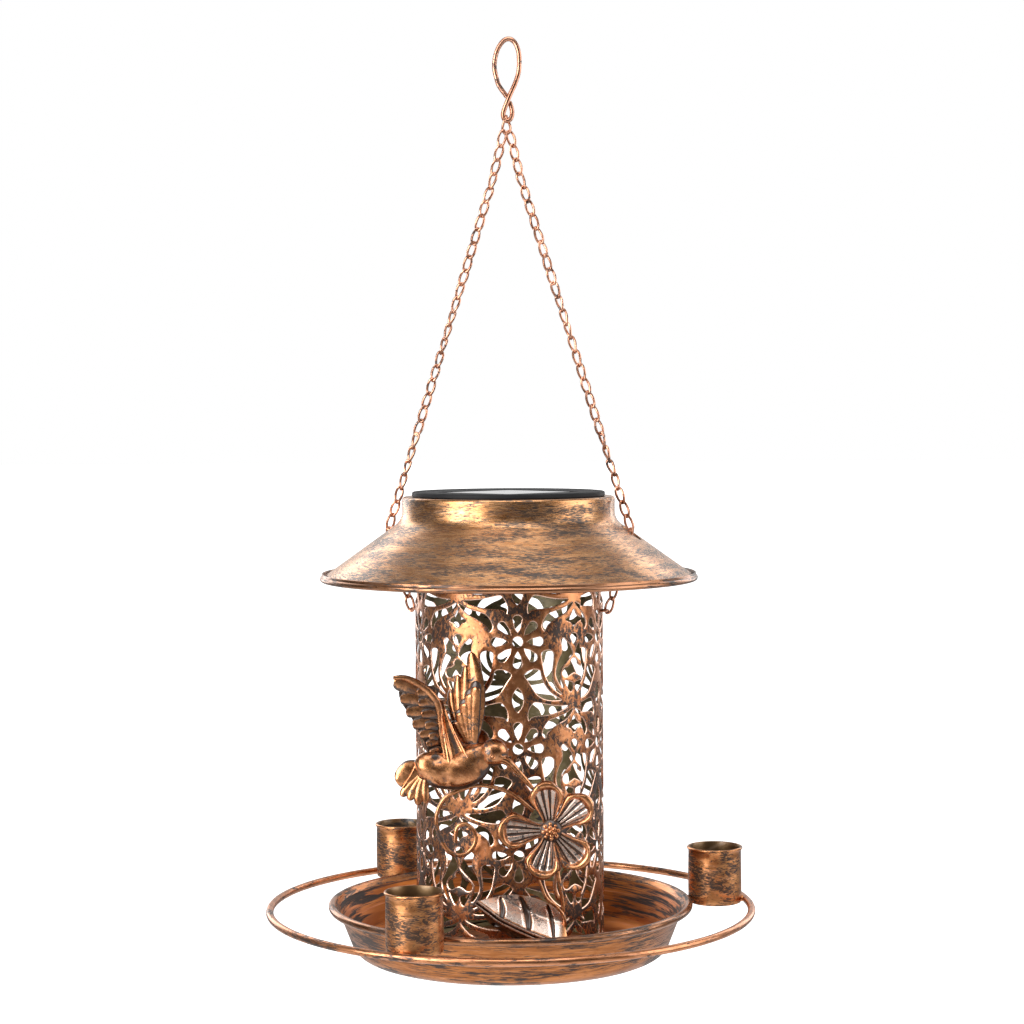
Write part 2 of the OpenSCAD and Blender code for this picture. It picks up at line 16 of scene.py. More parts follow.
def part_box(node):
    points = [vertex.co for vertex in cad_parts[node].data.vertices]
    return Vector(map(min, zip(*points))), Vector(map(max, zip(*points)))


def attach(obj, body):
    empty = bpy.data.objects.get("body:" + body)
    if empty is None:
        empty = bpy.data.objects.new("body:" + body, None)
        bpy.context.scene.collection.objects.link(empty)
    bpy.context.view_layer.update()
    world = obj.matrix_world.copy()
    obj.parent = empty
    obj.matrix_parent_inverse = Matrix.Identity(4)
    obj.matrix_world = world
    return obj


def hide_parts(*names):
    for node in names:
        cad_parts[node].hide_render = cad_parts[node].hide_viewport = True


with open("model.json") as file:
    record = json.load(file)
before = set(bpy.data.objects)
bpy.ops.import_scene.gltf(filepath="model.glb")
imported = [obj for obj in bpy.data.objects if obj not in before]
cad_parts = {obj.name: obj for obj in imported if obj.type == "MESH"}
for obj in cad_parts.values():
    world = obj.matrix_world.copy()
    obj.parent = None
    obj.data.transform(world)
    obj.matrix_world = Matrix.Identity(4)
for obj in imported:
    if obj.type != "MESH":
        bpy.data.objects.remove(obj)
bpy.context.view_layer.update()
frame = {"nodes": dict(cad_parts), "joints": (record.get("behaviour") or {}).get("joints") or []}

MM = 0.001
RING_Z = sum(p.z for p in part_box("perch_ring")) / 2  # the perch ring's centre plane, in metres
JOINT_AT = {j["name"]: Vector(j["pos_m"]) for j in frame["joints"] if "pos_m" in j}
SHEET = 0.8  # thickness of the lid's, tray's and cups' metal
AXIS_SEGMENTS = 256  # steps round the lid and the tray
LIGHT_AIM_Z = -0.3  # height that every lamp points at, in metres
FLOOR_Z = -1.1  # in metres, well below the tray


# ---- camera, lights and backdrop ----


def linked(name, data):
    """A new object in the scene."""
    thing = bpy.data.objects.new(name, data)
    bpy.context.scene.collection.objects.link(thing)
    return thing


def make_camera():
    """A long lens in front of the feeder, a little above the tray and tipped slightly down."""
    data = bpy.data.cameras.new("camera")
    data.lens, data.sensor_width = 83.32, 36
    data.clip_start, data.clip_end = 0.05, 50
    cam = linked("camera", data)
    cam.location = (0.00185, -1.255, RING_Z + 0.2643)
    tip_down = Quaternion((1, 0, 0), math.radians(90 - 2.44))
    roll = Quaternion((0, 0, 1), math.radians(-0.30))
    cam.rotation_mode = "QUATERNION"
    cam.rotation_quaternion = tip_down @ roll
    bpy.context.scene.camera = cam


def soft_box(name, azimuth, distance, height, width, tall, power):
    """Area light that looks at the feeder. Azimuth 0 is the camera's side, 90 is the feeder's right."""
    data = bpy.data.lights.new(name, "AREA")
    data.shape, data.size, data.size_y = "RECTANGLE", width, tall
    data.energy = power
    lamp = linked(name, data)
    a = math.radians(azimuth)
    lamp.location = (distance * math.sin(a), -distance * math.cos(a), height)
    towards = Vector((0, 0, LIGHT_AIM_Z)) - lamp.location
    lamp.rotation_mode = "QUATERNION"
    lamp.rotation_quaternion = towards.to_track_quat("-Z", "Y")


def make_studio():
    """White surroundings and soft boxes round the feeder. The pale floor well below the hanging feeder is
    made by make_floor.
    """
    scene = bpy.context.scene
    scene.view_settings.view_transform = "Standard"
    world = bpy.data.worlds.new("studio")
    scene.world = world
    world.use_nodes = True
    tree = world.node_tree
    tree.nodes.clear()
    # the feeder reflects surroundings that brighten behind it and overhead
    way = add(tree, "SeparateXYZ", {0: add(tree, "TexCoord").outputs["Generated"]})
    behind = span(tree, way.outputs["Y"], 0.3, 0.98, 0.08, 0.75)
    above = span(tree, way.outputs["Z"], 0.2, 0.9, 0.0, 0.22)
    glow = calc(tree, "ADD", behind, above)
    level = calc(tree, "MAXIMUM", glow, seen_directly(tree, 1.0))
    background = add(tree, "Background", {"Color": (1, 1, 1, 1), "Strength": level})
    out = add(tree, "OutputWorld")
    tree.links.new(background.outputs[0], out.inputs["Surface"])
    soft_box("key_left", -47, 1.3, 0.0, 0.9, 1.2, 25)
    soft_box("key_right", 80, 1.2, 0.0, 1.0, 1.2, 10)
    soft_box("top", 0, 0.6, 1.0, 1.2, 0.8, 11)
    soft_box("overhead", 150, 0.30, 1.0, 1.0, 0.6, 2.4)
    soft_box("back_left", 215, 1.4, 0.1, 0.6, 1.2, 6)
    soft_box("back_right", 140, 1.4, 0.1, 0.6, 1.2, 5)


def seen_directly(tree, level):
    """level where the camera looks straight at the backdrop, and 0 in the feeder's reflections."""
    return times(tree, add(tree, "LightPath").outputs["Is Camera Ray"], level)


def make_floor():
    """Pale matt floor that fades into the white surroundings and is clear from underneath."""
    material, tree, shader = new_material("pale_floor")
    small = grain(tree, object_place(tree), 4.0, 0.6, 0.0, 60.0)
    wire_in(
        tree,
        shader,
        Base_Color=blend(tree, small, (0.80, 0.80, 0.80), (0.84, 0.84, 0.84)),
        Roughness=span(tree, small, 0.3, 0.7, 0.7, 0.85),
        Emission_Strength=seen_directly(tree, 1.2),
    )
    shader.inputs["Emission Color"].default_value = (1, 1, 1, 1)
    underneath = add(tree, "NewGeometry").outputs["Backfacing"]
    clear = add(tree, "BsdfTransparent").outputs[0]
    sides = add(tree, "MixShader", {0: underneath, 1: shader.outputs[0], 2: clear})
    tree.links.new(sides.outputs[0], tree.nodes["Material Output"].inputs["Surface"])
    mesh = bpy.data.meshes.new("floor")
    reach = 40.0
    corners = [(x * reach, y * reach, FLOOR_Z) for x, y in ((-1, -1), (1, -1), (1, 1), (-1, 1))]
    mesh.from_pydata(corners, [], [(0, 1, 2, 3)])
    mesh.materials.append(material)
    linked("floor", mesh)


# ---- node helpers ----


def add(tree, kind, inputs=None, **settings):
    """One shader node, with its settings made and its inputs linked or filled in."""
    node = tree.nodes.new("ShaderNode" + kind)
    for key, value in settings.items():
        setattr(node, key, value)
    for key, value in (inputs or {}).items():
        if isinstance(value, bpy.types.NodeSocket):
            tree.links.new(value, node.inputs[key])
        else:
            node.inputs[key].default_value = value
    return node


def calc(tree, operation, a, b=0.0):
    return add(tree, "Math", {0: a, 1: b}, operation=operation).outputs[0]


def times(tree, a, b):
    return calc(tree, "MULTIPLY", a, b)


def span(tree, value, low, high, to_low=0.0, to_high=1.0):
    """Smooth step of value from low..high to to_low..to_high."""
    node = add(
        tree,
        "MapRange",
        {"Value": value, "From Min": low, "From Max": high, "To Min": to_low, "To Max": to_high},
        interpolation_type="SMOOTHSTEP",
    )
    return node.outputs["Result"]


def blend(tree, share, a, b):
    """Colour a where share is 0 and b where it is 1."""
    node = add(tree, "Mix", {0: share}, data_type="RGBA")
    for index, value in ((6, a), (7, b)):
        if isinstance(value, bpy.types.NodeSocket):
            tree.links.new(value, node.inputs[index])
        else:
            node.inputs[index].default_value = (*value, 1)
    return node.outputs[2]


def grain(tree, vector, detail, rough, distortion=0.0, scale=1.0):
    """Noise between 0 and 1."""
    inputs = {"Vector": vector, "Scale": scale, "Detail": detail}
    inputs |= {"Roughness": rough, "Distortion": distortion}
    return add(tree, "TexNoise", inputs).outputs["Fac"]


def object_place(tree):
    return add(tree, "TexCoord").outputs["Object"]


def new_material(name):
    material = bpy.data.materials.new(name)
    material.use_nodes = True
    tree = material.node_tree
    tree.nodes.clear()
    shader = add(tree, "BsdfPrincipled")
    out = add(tree, "OutputMaterial")
    tree.links.new(shader.outputs[0], out.inputs["Surface"])
    return material, tree, shader


def wire_in(tree, shader, **inputs):
    """Links sockets to the shader's inputs, with _ standing for a space in an input's name."""
    for key, value in inputs.items():
        tree.links.new(value, shader.inputs[key.replace("_", " ")])


def bump(tree, height, distance, strength):
    node = add(tree, "Bump", {"Height": height, "Distance": distance, "Strength": strength})
    return node.outputs["Normal"]


def stretched(tree, around, across, centre):
    """Object coordinates stretched so that noise runs in strokes round a vertical axis.

    around and across are how many strokes there are to a metre along and across them."""
    place = add(tree, "SeparateXYZ", {0: object_place(tree)}).outputs
    x = calc(tree, "SUBTRACT", place["X"], centre[0])
    y = calc(tree, "SUBTRACT", place["Y"], centre[1])
    radius = calc(tree, "SQRT", calc(tree, "ADD", times(tree, x, x), times(tree, y, y)))
    level = calc(tree, "SUBTRACT", place["Z"], times(tree, radius, 0.5))
    parts = {"X": times(tree, x, around), "Y": times(tree, y, around), "Z": times(tree, level, across)}
    return add(tree, "CombineXYZ", parts).outputs[0]


# ---- materials ----

BLACK = (0.014, 0.013, 0.013)
PALE_HIGHLIGHT = (0.86, 0.71, 0.62)  # pale silvery copper, painted as highlight on the petals' ribs, the leaf's upper half and its midrib


def antique(
    name,
    light,
    deep,
    black,
    stroke,
    patch,
    rough,
    centre=(0, 0),
    reads_hollow_black_and_painted_light=False,
    lacquer=0.5,
    clump=0.8,
    swirl=0.6,
    foot=0.0,
):
    """Copper paint brushed thinly over black: strokes, black patches and a drift in tone.

    black is the share that shows black. stroke and patch are counts to a metre along and across
    the brush. clump is how strongly the strokes gather in patches, and swirl how far they bend.
    reads_hollow_black_and_painted_light darkens by the mesh's own values, which hold black left in hollows
    together with painted shade, and paints a pale highlight where they are below zero. foot is how much more
    black there is low down, partly the paint's own and partly painted shade."""
    material, tree, shader = new_material(name)
    fine = grain(tree, stretched(tree, *stroke, centre), 5.0, 0.7, swirl)
    cloud = grain(tree, stretched(tree, *patch, centre), 3.0, 0.6, 0.6)
    drift = grain(tree, stretched(tree, patch[0] * 2.2, patch[1] * 2.6, centre), 3.0, 0.6)
    sheen = grain(tree, stretched(tree, stroke[0] * 0.6, stroke[1] * 0.8, centre), 3.0, 0.7)
    cover = calc(tree, "ADD", fine, times(tree, calc(tree, "SUBTRACT", cloud, 0.5), clump))
    # more black towards the bottom: partly the paint's own black, partly painted shade
    if foot:
        level = add(tree, "SeparateXYZ", {0: object_place(tree)}).outputs["Z"]
        cover = calc(tree, "ADD", cover, span(tree, level, RING_Z, RING_Z + 0.13, foot, 0.0))
    edge = 0.70 - 0.27 * black
    mask = span(tree, cover, edge - 0.05, edge + 0.07)
    tone = blend(tree, span(tree, drift, 0.35, 0.68), deep, light)
    if reads_hollow_black_and_painted_light:
        # black left in hollows and painted shade raise these values; below zero they stand for painted
        # highlight
        hollow_black_and_painted_light = add(tree, "Attribute", attribute_name="hollow_black_and_painted_light").outputs["Fac"]
        uneven = times(tree, calc(tree, "SUBTRACT", fine, 0.5), 1.2)
        hollow_black_and_shade = span(tree, calc(tree, "ADD", hollow_black_and_painted_light, uneven), 0.35, 0.75)
        mask = calc(tree, "MAXIMUM", mask, hollow_black_and_shade)
        # below zero the tone turns pale: painted highlight
        tone = blend(tree, span(tree, hollow_black_and_painted_light, -0.5, -0.1, 0.85, 0.0), tone, PALE_HIGHLIGHT)
    # fine lighter streaks: the paint's own lighter strokes, with painted glints along them
    lighter_stroke_and_glint = tuple(min(1.0, c * 1.15 + 0.09) for c in light)
    tone = blend(tree, span(tree, sheen, 0.52, 0.72, 0.0, 0.6), tone, lighter_stroke_and_glint)
    polish = span(tree, sheen, 0.3, 0.8, rough - 0.05, rough + 0.1)
    height = calc(tree, "SUBTRACT", fine, times(tree, mask, 0.5))
    wire_in(
        tree,
        shader,
        Base_Color=blend(tree, times(tree, mask, 0.93), tone, BLACK),
        Roughness=calc(tree, "ADD", polish, times(tree, mask, 0.16)),
        Metallic=span(tree, mask, 0.0, 1.0, 1.0, 0.45),
        Normal=bump(tree, height, 0.00012, 0.35),
    )
    shader.inputs["Coat Weight"].default_value = lacquer
    shader.inputs["Coat Roughness"].default_value = 0.22
    return material


def grained(name, dark, light, drift, rough, fine, coarse, relief):
    """A material with a fine grain over a coarse drift in tone, and its shader.

    drift is where the tone goes from dark to light, rough the least and most roughness, fine the
    grain's detail, roughness, distortion and scale, coarse the drift's scale, and relief the
    bump's distance and strength."""
    material, tree, shader = new_material(name)
    place = object_place(tree)
    small = grain(tree, place, *fine)
    large = grain(tree, place, 2.0, 0.5, 0.0, coarse)
    share = span(tree, calc(tree, "ADD", small, large), *drift)
    wire_in(
        tree,
        shader,
        Base_Color=blend(tree, share, dark, light),
        Roughness=span(tree, small, 0.3, 0.7, *rough),
        Normal=bump(tree, small, *relief),
    )
    return material, shader


def plain_metal(name, colour, rough):
    """Bright metal with a fine drift in tone and polish."""
    dark = tuple(c * (1 - 2.2 * 0.15) for c in colour)
    limits = (rough - 0.06, rough + 0.1)
    fine = (4.0, 0.6, 0.2, 900.0)
    material, shader = grained(name, dark, colour, (0.75, 1.2), limits, fine, 75.0, (0.00005, 0.3))
    shader.inputs["Metallic"].default_value = 1.0
    return material


def moulded(name, colour, rough, gloss=0.0, specular=0.5):
    """Plastic with a fine moulded grain, under a coat where it is glossy."""
    lighter = tuple(min(1.0, c * 1.35 + 0.004) for c in colour)
    limits = (rough - 0.07, rough + 0.08)
    fine = (5.0, 0.65, 0.0, 1400.0)
    material, shader = grained(name, colour, lighter, (0.8, 1.25), limits, fine, 56.0, (0.00004, 0.4))
    shader.inputs["Coat Weight"].default_value = gloss
    shader.inputs["Specular IOR Level"].default_value = specular
    return material


# ---- mesh helpers ----

ON_AXIS = 1e-6  # a radius below this counts as on the axis


def frame_points(points):
    """Points in mm above the ring's plane, as frame metres."""
    out = np.asarray(points, float).reshape(-1, 3) * MM
    out[:, 2] += RING_Z
    return out


def build(name, points, faces, materials, body, slot, replaces, sharp, indices, hollow_black_and_painted_light=None):
    """One visible piece: a smooth-shaded mesh that rides on a body and stands for CAD nodes.

    sharp is the angle from which an edge stays sharp, indices each face's material, and
    hollow_black_and_painted_light each point's darkness: black left in hollows and painted shade, with
    painted highlight below zero."""
    mesh = bpy.data.meshes.new(name)
    mesh.from_pydata(frame_points(points).tolist(), [], faces)
    if hollow_black_and_painted_light is not None:
        values = mesh.attributes.new("hollow_black_and_painted_light", "FLOAT", "POINT").data
        values.foreach_set("value", np.asarray(hollow_black_and_painted_light, np.float32))
    for material in materials:
        mesh.materials.append(material)
    mesh.polygons.foreach_set("material_index", indices)
    mesh.polygons.foreach_set("use_smooth", [True] * len(mesh.polygons))
    mesh.update()
    mesh.set_sharp_from_angle(angle=math.radians(sharp))
    piece = linked(name, mesh)
    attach(piece, body)
    if replaces:
        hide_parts(*replaces)
    return piece


class Shape:
    """Points and faces gathered from several parts of one piece."""

    def __init__(self):
        self.points, self.faces, self.indices, self.hollow_black_and_painted_light = [], [], [], []

    def take(self, points, faces, hollow_black_and_painted_light=0.0, index=0):
        start = len(self.points)
        self.points += [tuple(p) for p in points]
        self.faces += [[start + i for i in f] for f in faces]
        self.indices += np.broadcast_to(index, len(faces)).tolist()
        self.hollow_black_and_painted_light += np.broadcast_to(hollow_black_and_painted_light, len(points)).tolist()

    def finish(self, name, materials, body, slot, replaces, sharp=35):
        meshed = (name, self.points, self.faces, materials, body, slot, replaces, sharp)
        return build(*meshed, self.indices, self.hollow_black_and_painted_light)

    def finish_ornament(self, name, copper, replaces, sharp=50):
        return self.finish(name, [copper], "feeder", "ornament_copper", replaces, sharp)


def smooth(points, steps, closed=False):
    """Catmull-Rom curve through given points."""
    p = np.asarray(points, float)
    n = len(p)
    out = []
    for i in range(n if closed else n - 1):
        near = [(i + k) % n if closed else min(max(i + k, 0), n - 1) for k in (-1, 0, 1, 2)]
        a, b, c, d = p[near]
        for t in np.arange(steps) / steps:
            square, cube = 2 * a - 5 * b + 4 * c - d, 3 * b - a - 3 * c + d
            out.append(0.5 * (2 * b + (c - a) * t + square * t**2 + cube * t**3))
    if not closed:
        out.append(p[-1])
    return np.array(out)


def full_turn(count):
    """Angles of count even steps round a circle."""
    return np.linspace(0, 2 * math.pi, count, endpoint=False)


def circle(r, z, count):
    """Points on a level circle round the axis."""
    return [(r * math.cos(a), r * math.sin(a), z) for a in full_turn(count)]


def arc(cx, cz, r, a0, a1, steps):
    """Points on an arc from angle a0 to a1, in degrees."""
    turns = np.radians(np.linspace(a0, a1, steps + 1))
    return [(cx + r * math.cos(a), cz + r * math.sin(a)) for a in turns]


def bands(rows, sides, closed=False):
    """Quads between rows of points that each go once round. closed joins the last row to the first."""
    following = [*range(1, rows), 0] if closed else range(1, rows)
    return [
        [i * sides + k, i * sides + (k + 1) % sides, j * sides + (k + 1) % sides, j * sides + k]
        for i, j in zip(range(rows), following)
        for k in range(sides)
    ]


def caps(rows, sides):
    """Faces that close the first and the last row."""
    return [list(range(sides))[::-1], [(rows - 1) * sides + k for k in range(sides)]]


def closed_sheet(rows, columns):
    """Faces of a front grid of points, a back grid behind it and the border between them."""
    count = rows * columns
    grid = np.arange(count).reshape(rows, columns)
    corners = [grid[:-1, :-1], grid[1:, :-1], grid[1:, 1:], grid[:-1, 1:]]
    faces = []
    for quad in np.stack(corners, -1).reshape(-1, 4).tolist():
        faces += [quad, [count + q for q in quad[::-1]]]
    border = np.concatenate([grid[0], grid[1:, -1], grid[-1, -2::-1], grid[-2:0:-1, 0]]).tolist()
    return faces + [[a, b, count + b, count + a] for a, b in zip(border, border[1:] + border[:1])]


def tube(path, radius, sides, closed=False):
    """Round wire along a path."""
    p = np.asarray(path, float)
    n = len(p)
    ahead = np.roll(p, -1, 0) - np.roll(p, 1, 0) if closed else np.gradient(p, axis=0)
    ahead /= np.linalg.norm(ahead, axis=1)[:, None]
    side = np.cross(ahead[0], (0.31, 0.83, 0.46))
    side /= np.linalg.norm(side)
    sides_at = []
    for t in ahead:
        side = side - t * side.dot(t)
        side /= np.linalg.norm(side)
        sides_at.append(side)
    sides_at = np.array(sides_at)
    twist = np.zeros(n)
    if closed:  # spread the leftover turn evenly, so that the wire closes without a kink
        last = sides_at[-1] - ahead[0] * sides_at[-1].dot(ahead[0])
        turn = math.atan2(np.cross(sides_at[0], last).dot(ahead[0]), sides_at[0].dot(last))
        twist = -turn * np.arange(n) / n
    up = np.cross(ahead, sides_at)
    a = full_turn(sides)[None, :] + twist[:, None]
    spokes = sides_at[:, None] * np.cos(a)[..., None] + up[:, None] * np.sin(a)[..., None]
    points = (p[:, None] + radius * spokes).reshape(-1, 3)
    return points, bands(n, sides, closed) + ([] if closed else caps(n, sides))


def revolve(profile, segments, centre=(0.0, 0.0), wobble=0.0):
    """Closed outline in radius and height, turned round a vertical axis. Where it touches the
    axis it is joined in one point. wobble pushes the surface in and out a little."""
    points, first = [], []
    for r, z in profile:
        first.append(len(points))
        if r < ON_AXIS:
            points.append((centre[0], centre[1], z))
            continue
        for a in full_turn(segments):
            q = r + wobble * noise.noise(Vector((r * math.cos(a), r * math.sin(a), z * 1.5)) / 30)
            points.append((centre[0] + q * math.cos(a), centre[1] + q * math.sin(a), z))
    faces = []
    for i, j in zip(range(len(profile)), [*range(1, len(profile)), 0]):
        start_on, end_on = profile[i][0] < ON_AXIS, profile[j][0] < ON_AXIS
        for k in range(0 if start_on and end_on else segments):
            m = (k + 1) % segments
            if start_on:
                faces.append([first[i], first[j] + m, first[j] + k])
            elif end_on:
                faces.append([first[i] + k, first[i] + m, first[j]])
            else:
                faces.append([first[i] + k, first[i] + m, first[j] + m, first[j] + k])
    return points, faces


def band_indices(profile, kinds, segments):
    """The material index of each face that revolve makes, from one kind for each outline step."""
    out = []
    for kind, start, end in zip(kinds, profile, profile[1:] + profile[:1]):
        out += [] if start[0] < ON_AXIS and end[0] < ON_AXIS else [kind] * segments
    return out


def tangents(points):
    """Unit tangent at each point of an open path."""
    ahead = np.gradient(np.asarray(points, float), axis=0)
    return ahead / np.linalg.norm(ahead, axis=1)[:, None]


def read_at(line, t):
    """Each column of a line of points, read at the shares t of the way along it."""
    seat = np.linspace(0, 1, len(line))
    return [np.interp(t, seat, column) for column in line.T]


def leaf_of_metal(place, rows, columns, front, thick):
    """Closed thin relief that faces -Y.

    place(t, v) gives x, z, height towards the front and darkness, which holds black left in hollows and
    painted shade and, below zero, painted highlight, for t from 0 to 1 along it and v from -1 to 1 across
    it."""
    t, v = np.meshgrid(np.linspace(0, 1, rows), np.linspace(-1, 1, columns), indexing="ij")
    x, z, height, hollow_black_and_painted_light = place(t, v)
    before = np.stack([x, front - height, z], -1).reshape(-1, 3)
    behind = before + np.array([0, thick, 0])
    shade = np.broadcast_to(hollow_black_and_painted_light, x.shape).reshape(-1)
    dark_back = np.full(len(shade), 0.45)
    points = np.concatenate([before, behind])
    return points, closed_sheet(rows, columns), np.concatenate([shade, dark_back])


# ---- hook and chain ----

SIDES = ("right", "left")
# first is the first link's distance below the leg's upper pivot, and twist is in degrees
CHAIN = {"pitch": 7.55, "length": 10.2, "width": 5.1, "wire": 1.36, "first": 2.975, "twist": 34.0}
SEGMENTS = {"upper": 22, "slide": 7, "lower": 6}  # links in each part of a leg
HOOK_WIRE_R = 1.3
SPREAD = (1.5, 0.9, 0.4)  # how far the first links of a leg stand outwards
# Bent wire of the hook: x, y and z along it, from its end behind the crossing round both loops
HOOK = [
    (0.4, 1.5, 429.6), (-1.6, 1.4, 432.2), (-3.9, 1.2, 435.6), (-5.2, 1.0, 439.6), (-6.2, 0.7, 444.8),
    (-5.7, 0.3, 450.2), (-4.1, 0.1, 455.0), (-1.2, 0.0, 458.8), (2.1, 0.0, 459.6), (4.9, 0.0, 457.3),
    (6.5, 0.0, 453.0), (6.9, -0.2, 447.5), (6.4, -0.5, 441.8), (4.6, -0.9, 436.2), (2.4, -1.2, 431.4),
    (0.8, -1.3, 427.6), (-0.7, -1.1, 423.9), (-1.7, -0.7, 420.6), (-1.2, -0.2, 417.9),
    (0.7, 0.0, 416.9), (2.5, 0.3, 418.6), (3.0, 0.8, 421.6), (2.4, 1.2, 424.8), (1.5, 1.3, 427.0),
]


def link_points(length, width, wire, twist):
    """Centre line of one twisted oval link, standing along Z."""
    half_w, half_l = (width - wire) / 2, (length - wire) / 2
    out = []
    for a in full_turn(28):
        x = half_w * math.copysign(abs(math.cos(a)) ** 0.8, math.cos(a))
        z = half_l * math.sin(a)
        turn = math.radians(twist) * z / half_l
        out.append((x * math.cos(turn), x * math.sin(turn), z))
    return np.array(out)


def make_hook(copper):
    """The bent wire hook and the small ring that hangs in it."""
    shape = Shape()
    shape.take(*tube(smooth(HOOK, 8), HOOK_WIRE_R, 16))
    shape.finish("hook_wire", [copper], "hook", "chain_copper", ["hook"])
    low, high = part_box("top_link")
    wire, width, twist, turn = 1.45, 6.2, 48, math.radians(40)
    path = link_points((high.z - low.z) / MM - wire + 1.3, width, wire, twist)
    c, s = math.cos(turn), math.sin(turn)
    turned = path @ np.array([[c, s, 0], [-s, c, 0], [0, 0, 1]])
    middle = ((low.z + high.z) / 2 - RING_Z) / MM
    ring = Shape()
    ring.take(*tube(turned + (0, 0, middle), wire / 2, 12, closed=True))
    ring.finish("top_ring", [copper], "top_link", "chain_copper", ["top_link"])


def make_leg(side, copper):
    """One chain leg: twisted links along the two straight runs, parted where the lid bends them."""
    ring_plane = (0, 0, RING_Z / MM)
    at = {k: np.array(JOINT_AT[f"chain_{side}_{k}_bend"]) / MM - ring_plane for k in SEGMENTS}
    pitch = CHAIN["pitch"]
    to_slide = CHAIN["first"] + (SEGMENTS["upper"] - 0.5) * pitch + pitch / 2
    runs = {
        "upper": (at["upper"], at["slide"], CHAIN["first"]),
        "slide": (at["upper"], at["slide"], to_slide),
        "lower": (at["slide"], at["lower"], pitch / 2),
    }
    one = link_points(CHAIN["length"], CHAIN["width"], CHAIN["wire"], CHAIN["twist"])
    points, faces = tube(one, CHAIN["wire"] / 2, 10, closed=True)
    rng = np.random.default_rng(7 if side == "right" else 11)
    for part, (start, end, first) in runs.items():
        down = (end - start) / np.linalg.norm(end - start)
        across = np.cross(down, (0.0, 1.0, 0.0))
        across /= np.linalg.norm(across)
        depth = np.cross(down, across)
        shape = Shape()
        for i in range(SEGMENTS[part]):
            a = math.radians(20 + 38 * math.sin(0.48 * i + 1.3) + rng.normal(0, 6))
            spread = 0.0
            if part == "upper" and i < len(SPREAD):
                a, spread = 0.1, math.copysign(SPREAD[i], down[0])
            e1 = across * math.cos(a) + depth * math.sin(a)
            e2 = -across * math.sin(a) + depth * math.cos(a)
            centre = start + down * (first + i * pitch) + across * spread
            axis = down + e1 * rng.normal(0, 0.05)
            axis /= np.linalg.norm(axis)
            shape.take(points @ np.array([e1, e2, axis]) + centre, faces)
        name = f"chain_{side}_{part}"
        shape.finish(f"{name}_links", [copper], name, "chain_copper", [name])


# ---- lid ----


def lid_profile():
    """Outline of the lid and the kind of each step: 0 outside, 1 inside, 2 on the brim's bead."""
    slope_deg, cone_r, cone_z = 35.6, 98.3, 176.9
    neck_r, top_z, lip, fillet = 56.3, 219.3, 1.5, 9.0
    slope = math.radians(slope_deg)
    fillet_r = neck_r + fillet
    fillet_z = cone_z + (fillet + (cone_r - fillet_r) * math.sin(slope)) / math.cos(slope)

    def on_cone(r, inset=0.0):
        z = cone_z + (cone_r - r) * math.tan(slope) - inset * math.cos(slope)
        return (r - inset * math.sin(slope), z)

    def upper(inset):
        bend = arc(fillet_r, fillet_z, fillet + inset, 270 - slope_deg, 180, 14)
        return bend + arc(neck_r - lip, top_z - lip, lip - inset, 0, 90, 6)

    outside = [on_cone(r) for r in np.linspace(96.2, 70, 14)] + upper(0)
    outside += [(53, top_z - 0.1), (50.4, top_z - 0.25), (49.8, top_z - 0.6), (50.4, top_z - SHEET)]
    inside = [(53, top_z - SHEET)] + upper(SHEET)[::-1]
    inside += [on_cone(r, SHEET) for r in np.linspace(70, 95.5, 14)]
    under = [(96.3, 176.1), (97.2, 175.2)]
    bead = arc(98.5, 176.35, 1.5, 235, 400, 16) + [(99.2, 177.72)]
    bead += arc(98.6, 178.7, 0.5, -30, 180, 8)
    bead += [(98.0, 177.6), (97.65, 177.0), (96.9, 177.0), (96.35, 177.9)]
    kinds = [0] * len(outside) + [1] * len(inside) + [0] * len(under) + [2] * len(bead)
    return outside + inside + under + bead, kinds


def make_lid(copper, inside, bead):
    """Spun lid: curled brim with a fine groove, cone, hollow fillet, neck and rolled-in lip."""
    profile, kinds = lid_profile()
    shape = Shape()
    skin = band_indices(profile, kinds, AXIS_SEGMENTS)
    shape.take(*revolve(profile, AXIS_SEGMENTS, wobble=0.12), index=skin)
    lid = shape.finish("lid_shell_spun", [copper, inside, bead], "lid", "lid_copper", ["lid_shell"], 30)
    holes = Shape()
    for side in SIDES:
        place = JOINT_AT[f"chain_{side}_slide_bend"]
        column = [(0, 170), (5.5, 170), (5.5, 230), (0, 230)]
        holes.take(*revolve(column, 48, (place.x / MM, place.y / MM)))
    cutter = bpy.data.meshes.new("hole")
    cutter.from_pydata(frame_points(holes.points).tolist(), [], holes.faces)
    tool = linked("hole", cutter)
    cut = lid.modifiers.new("holes", "BOOLEAN")
    cut.object, cut.solver = tool, "EXACT"
    apply_modifiers(lid)
    bpy.data.objects.remove(tool)


def apply_modifiers(piece):
    graph = bpy.context.evaluated_depsgraph_get()
    mesh = bpy.data.meshes.new_from_object(piece.evaluated_get(graph))
    piece.modifiers.clear()
    piece.data = mesh


# ---- solar lamp ----


def rounded_square(half, corner, steps=6):
    """Square turned by 45 degrees with round corners, as x, y points."""
    out = []
    for k in range(4):
        mid = math.radians(90 * k)
        inner = (half - corner) * math.sqrt(2)
        cx, cy = inner * math.cos(mid), inner * math.sin(mid)
        out += arc(cx, cy, corner, 90 * k - 45, 90 * k + 45, steps)
    return out


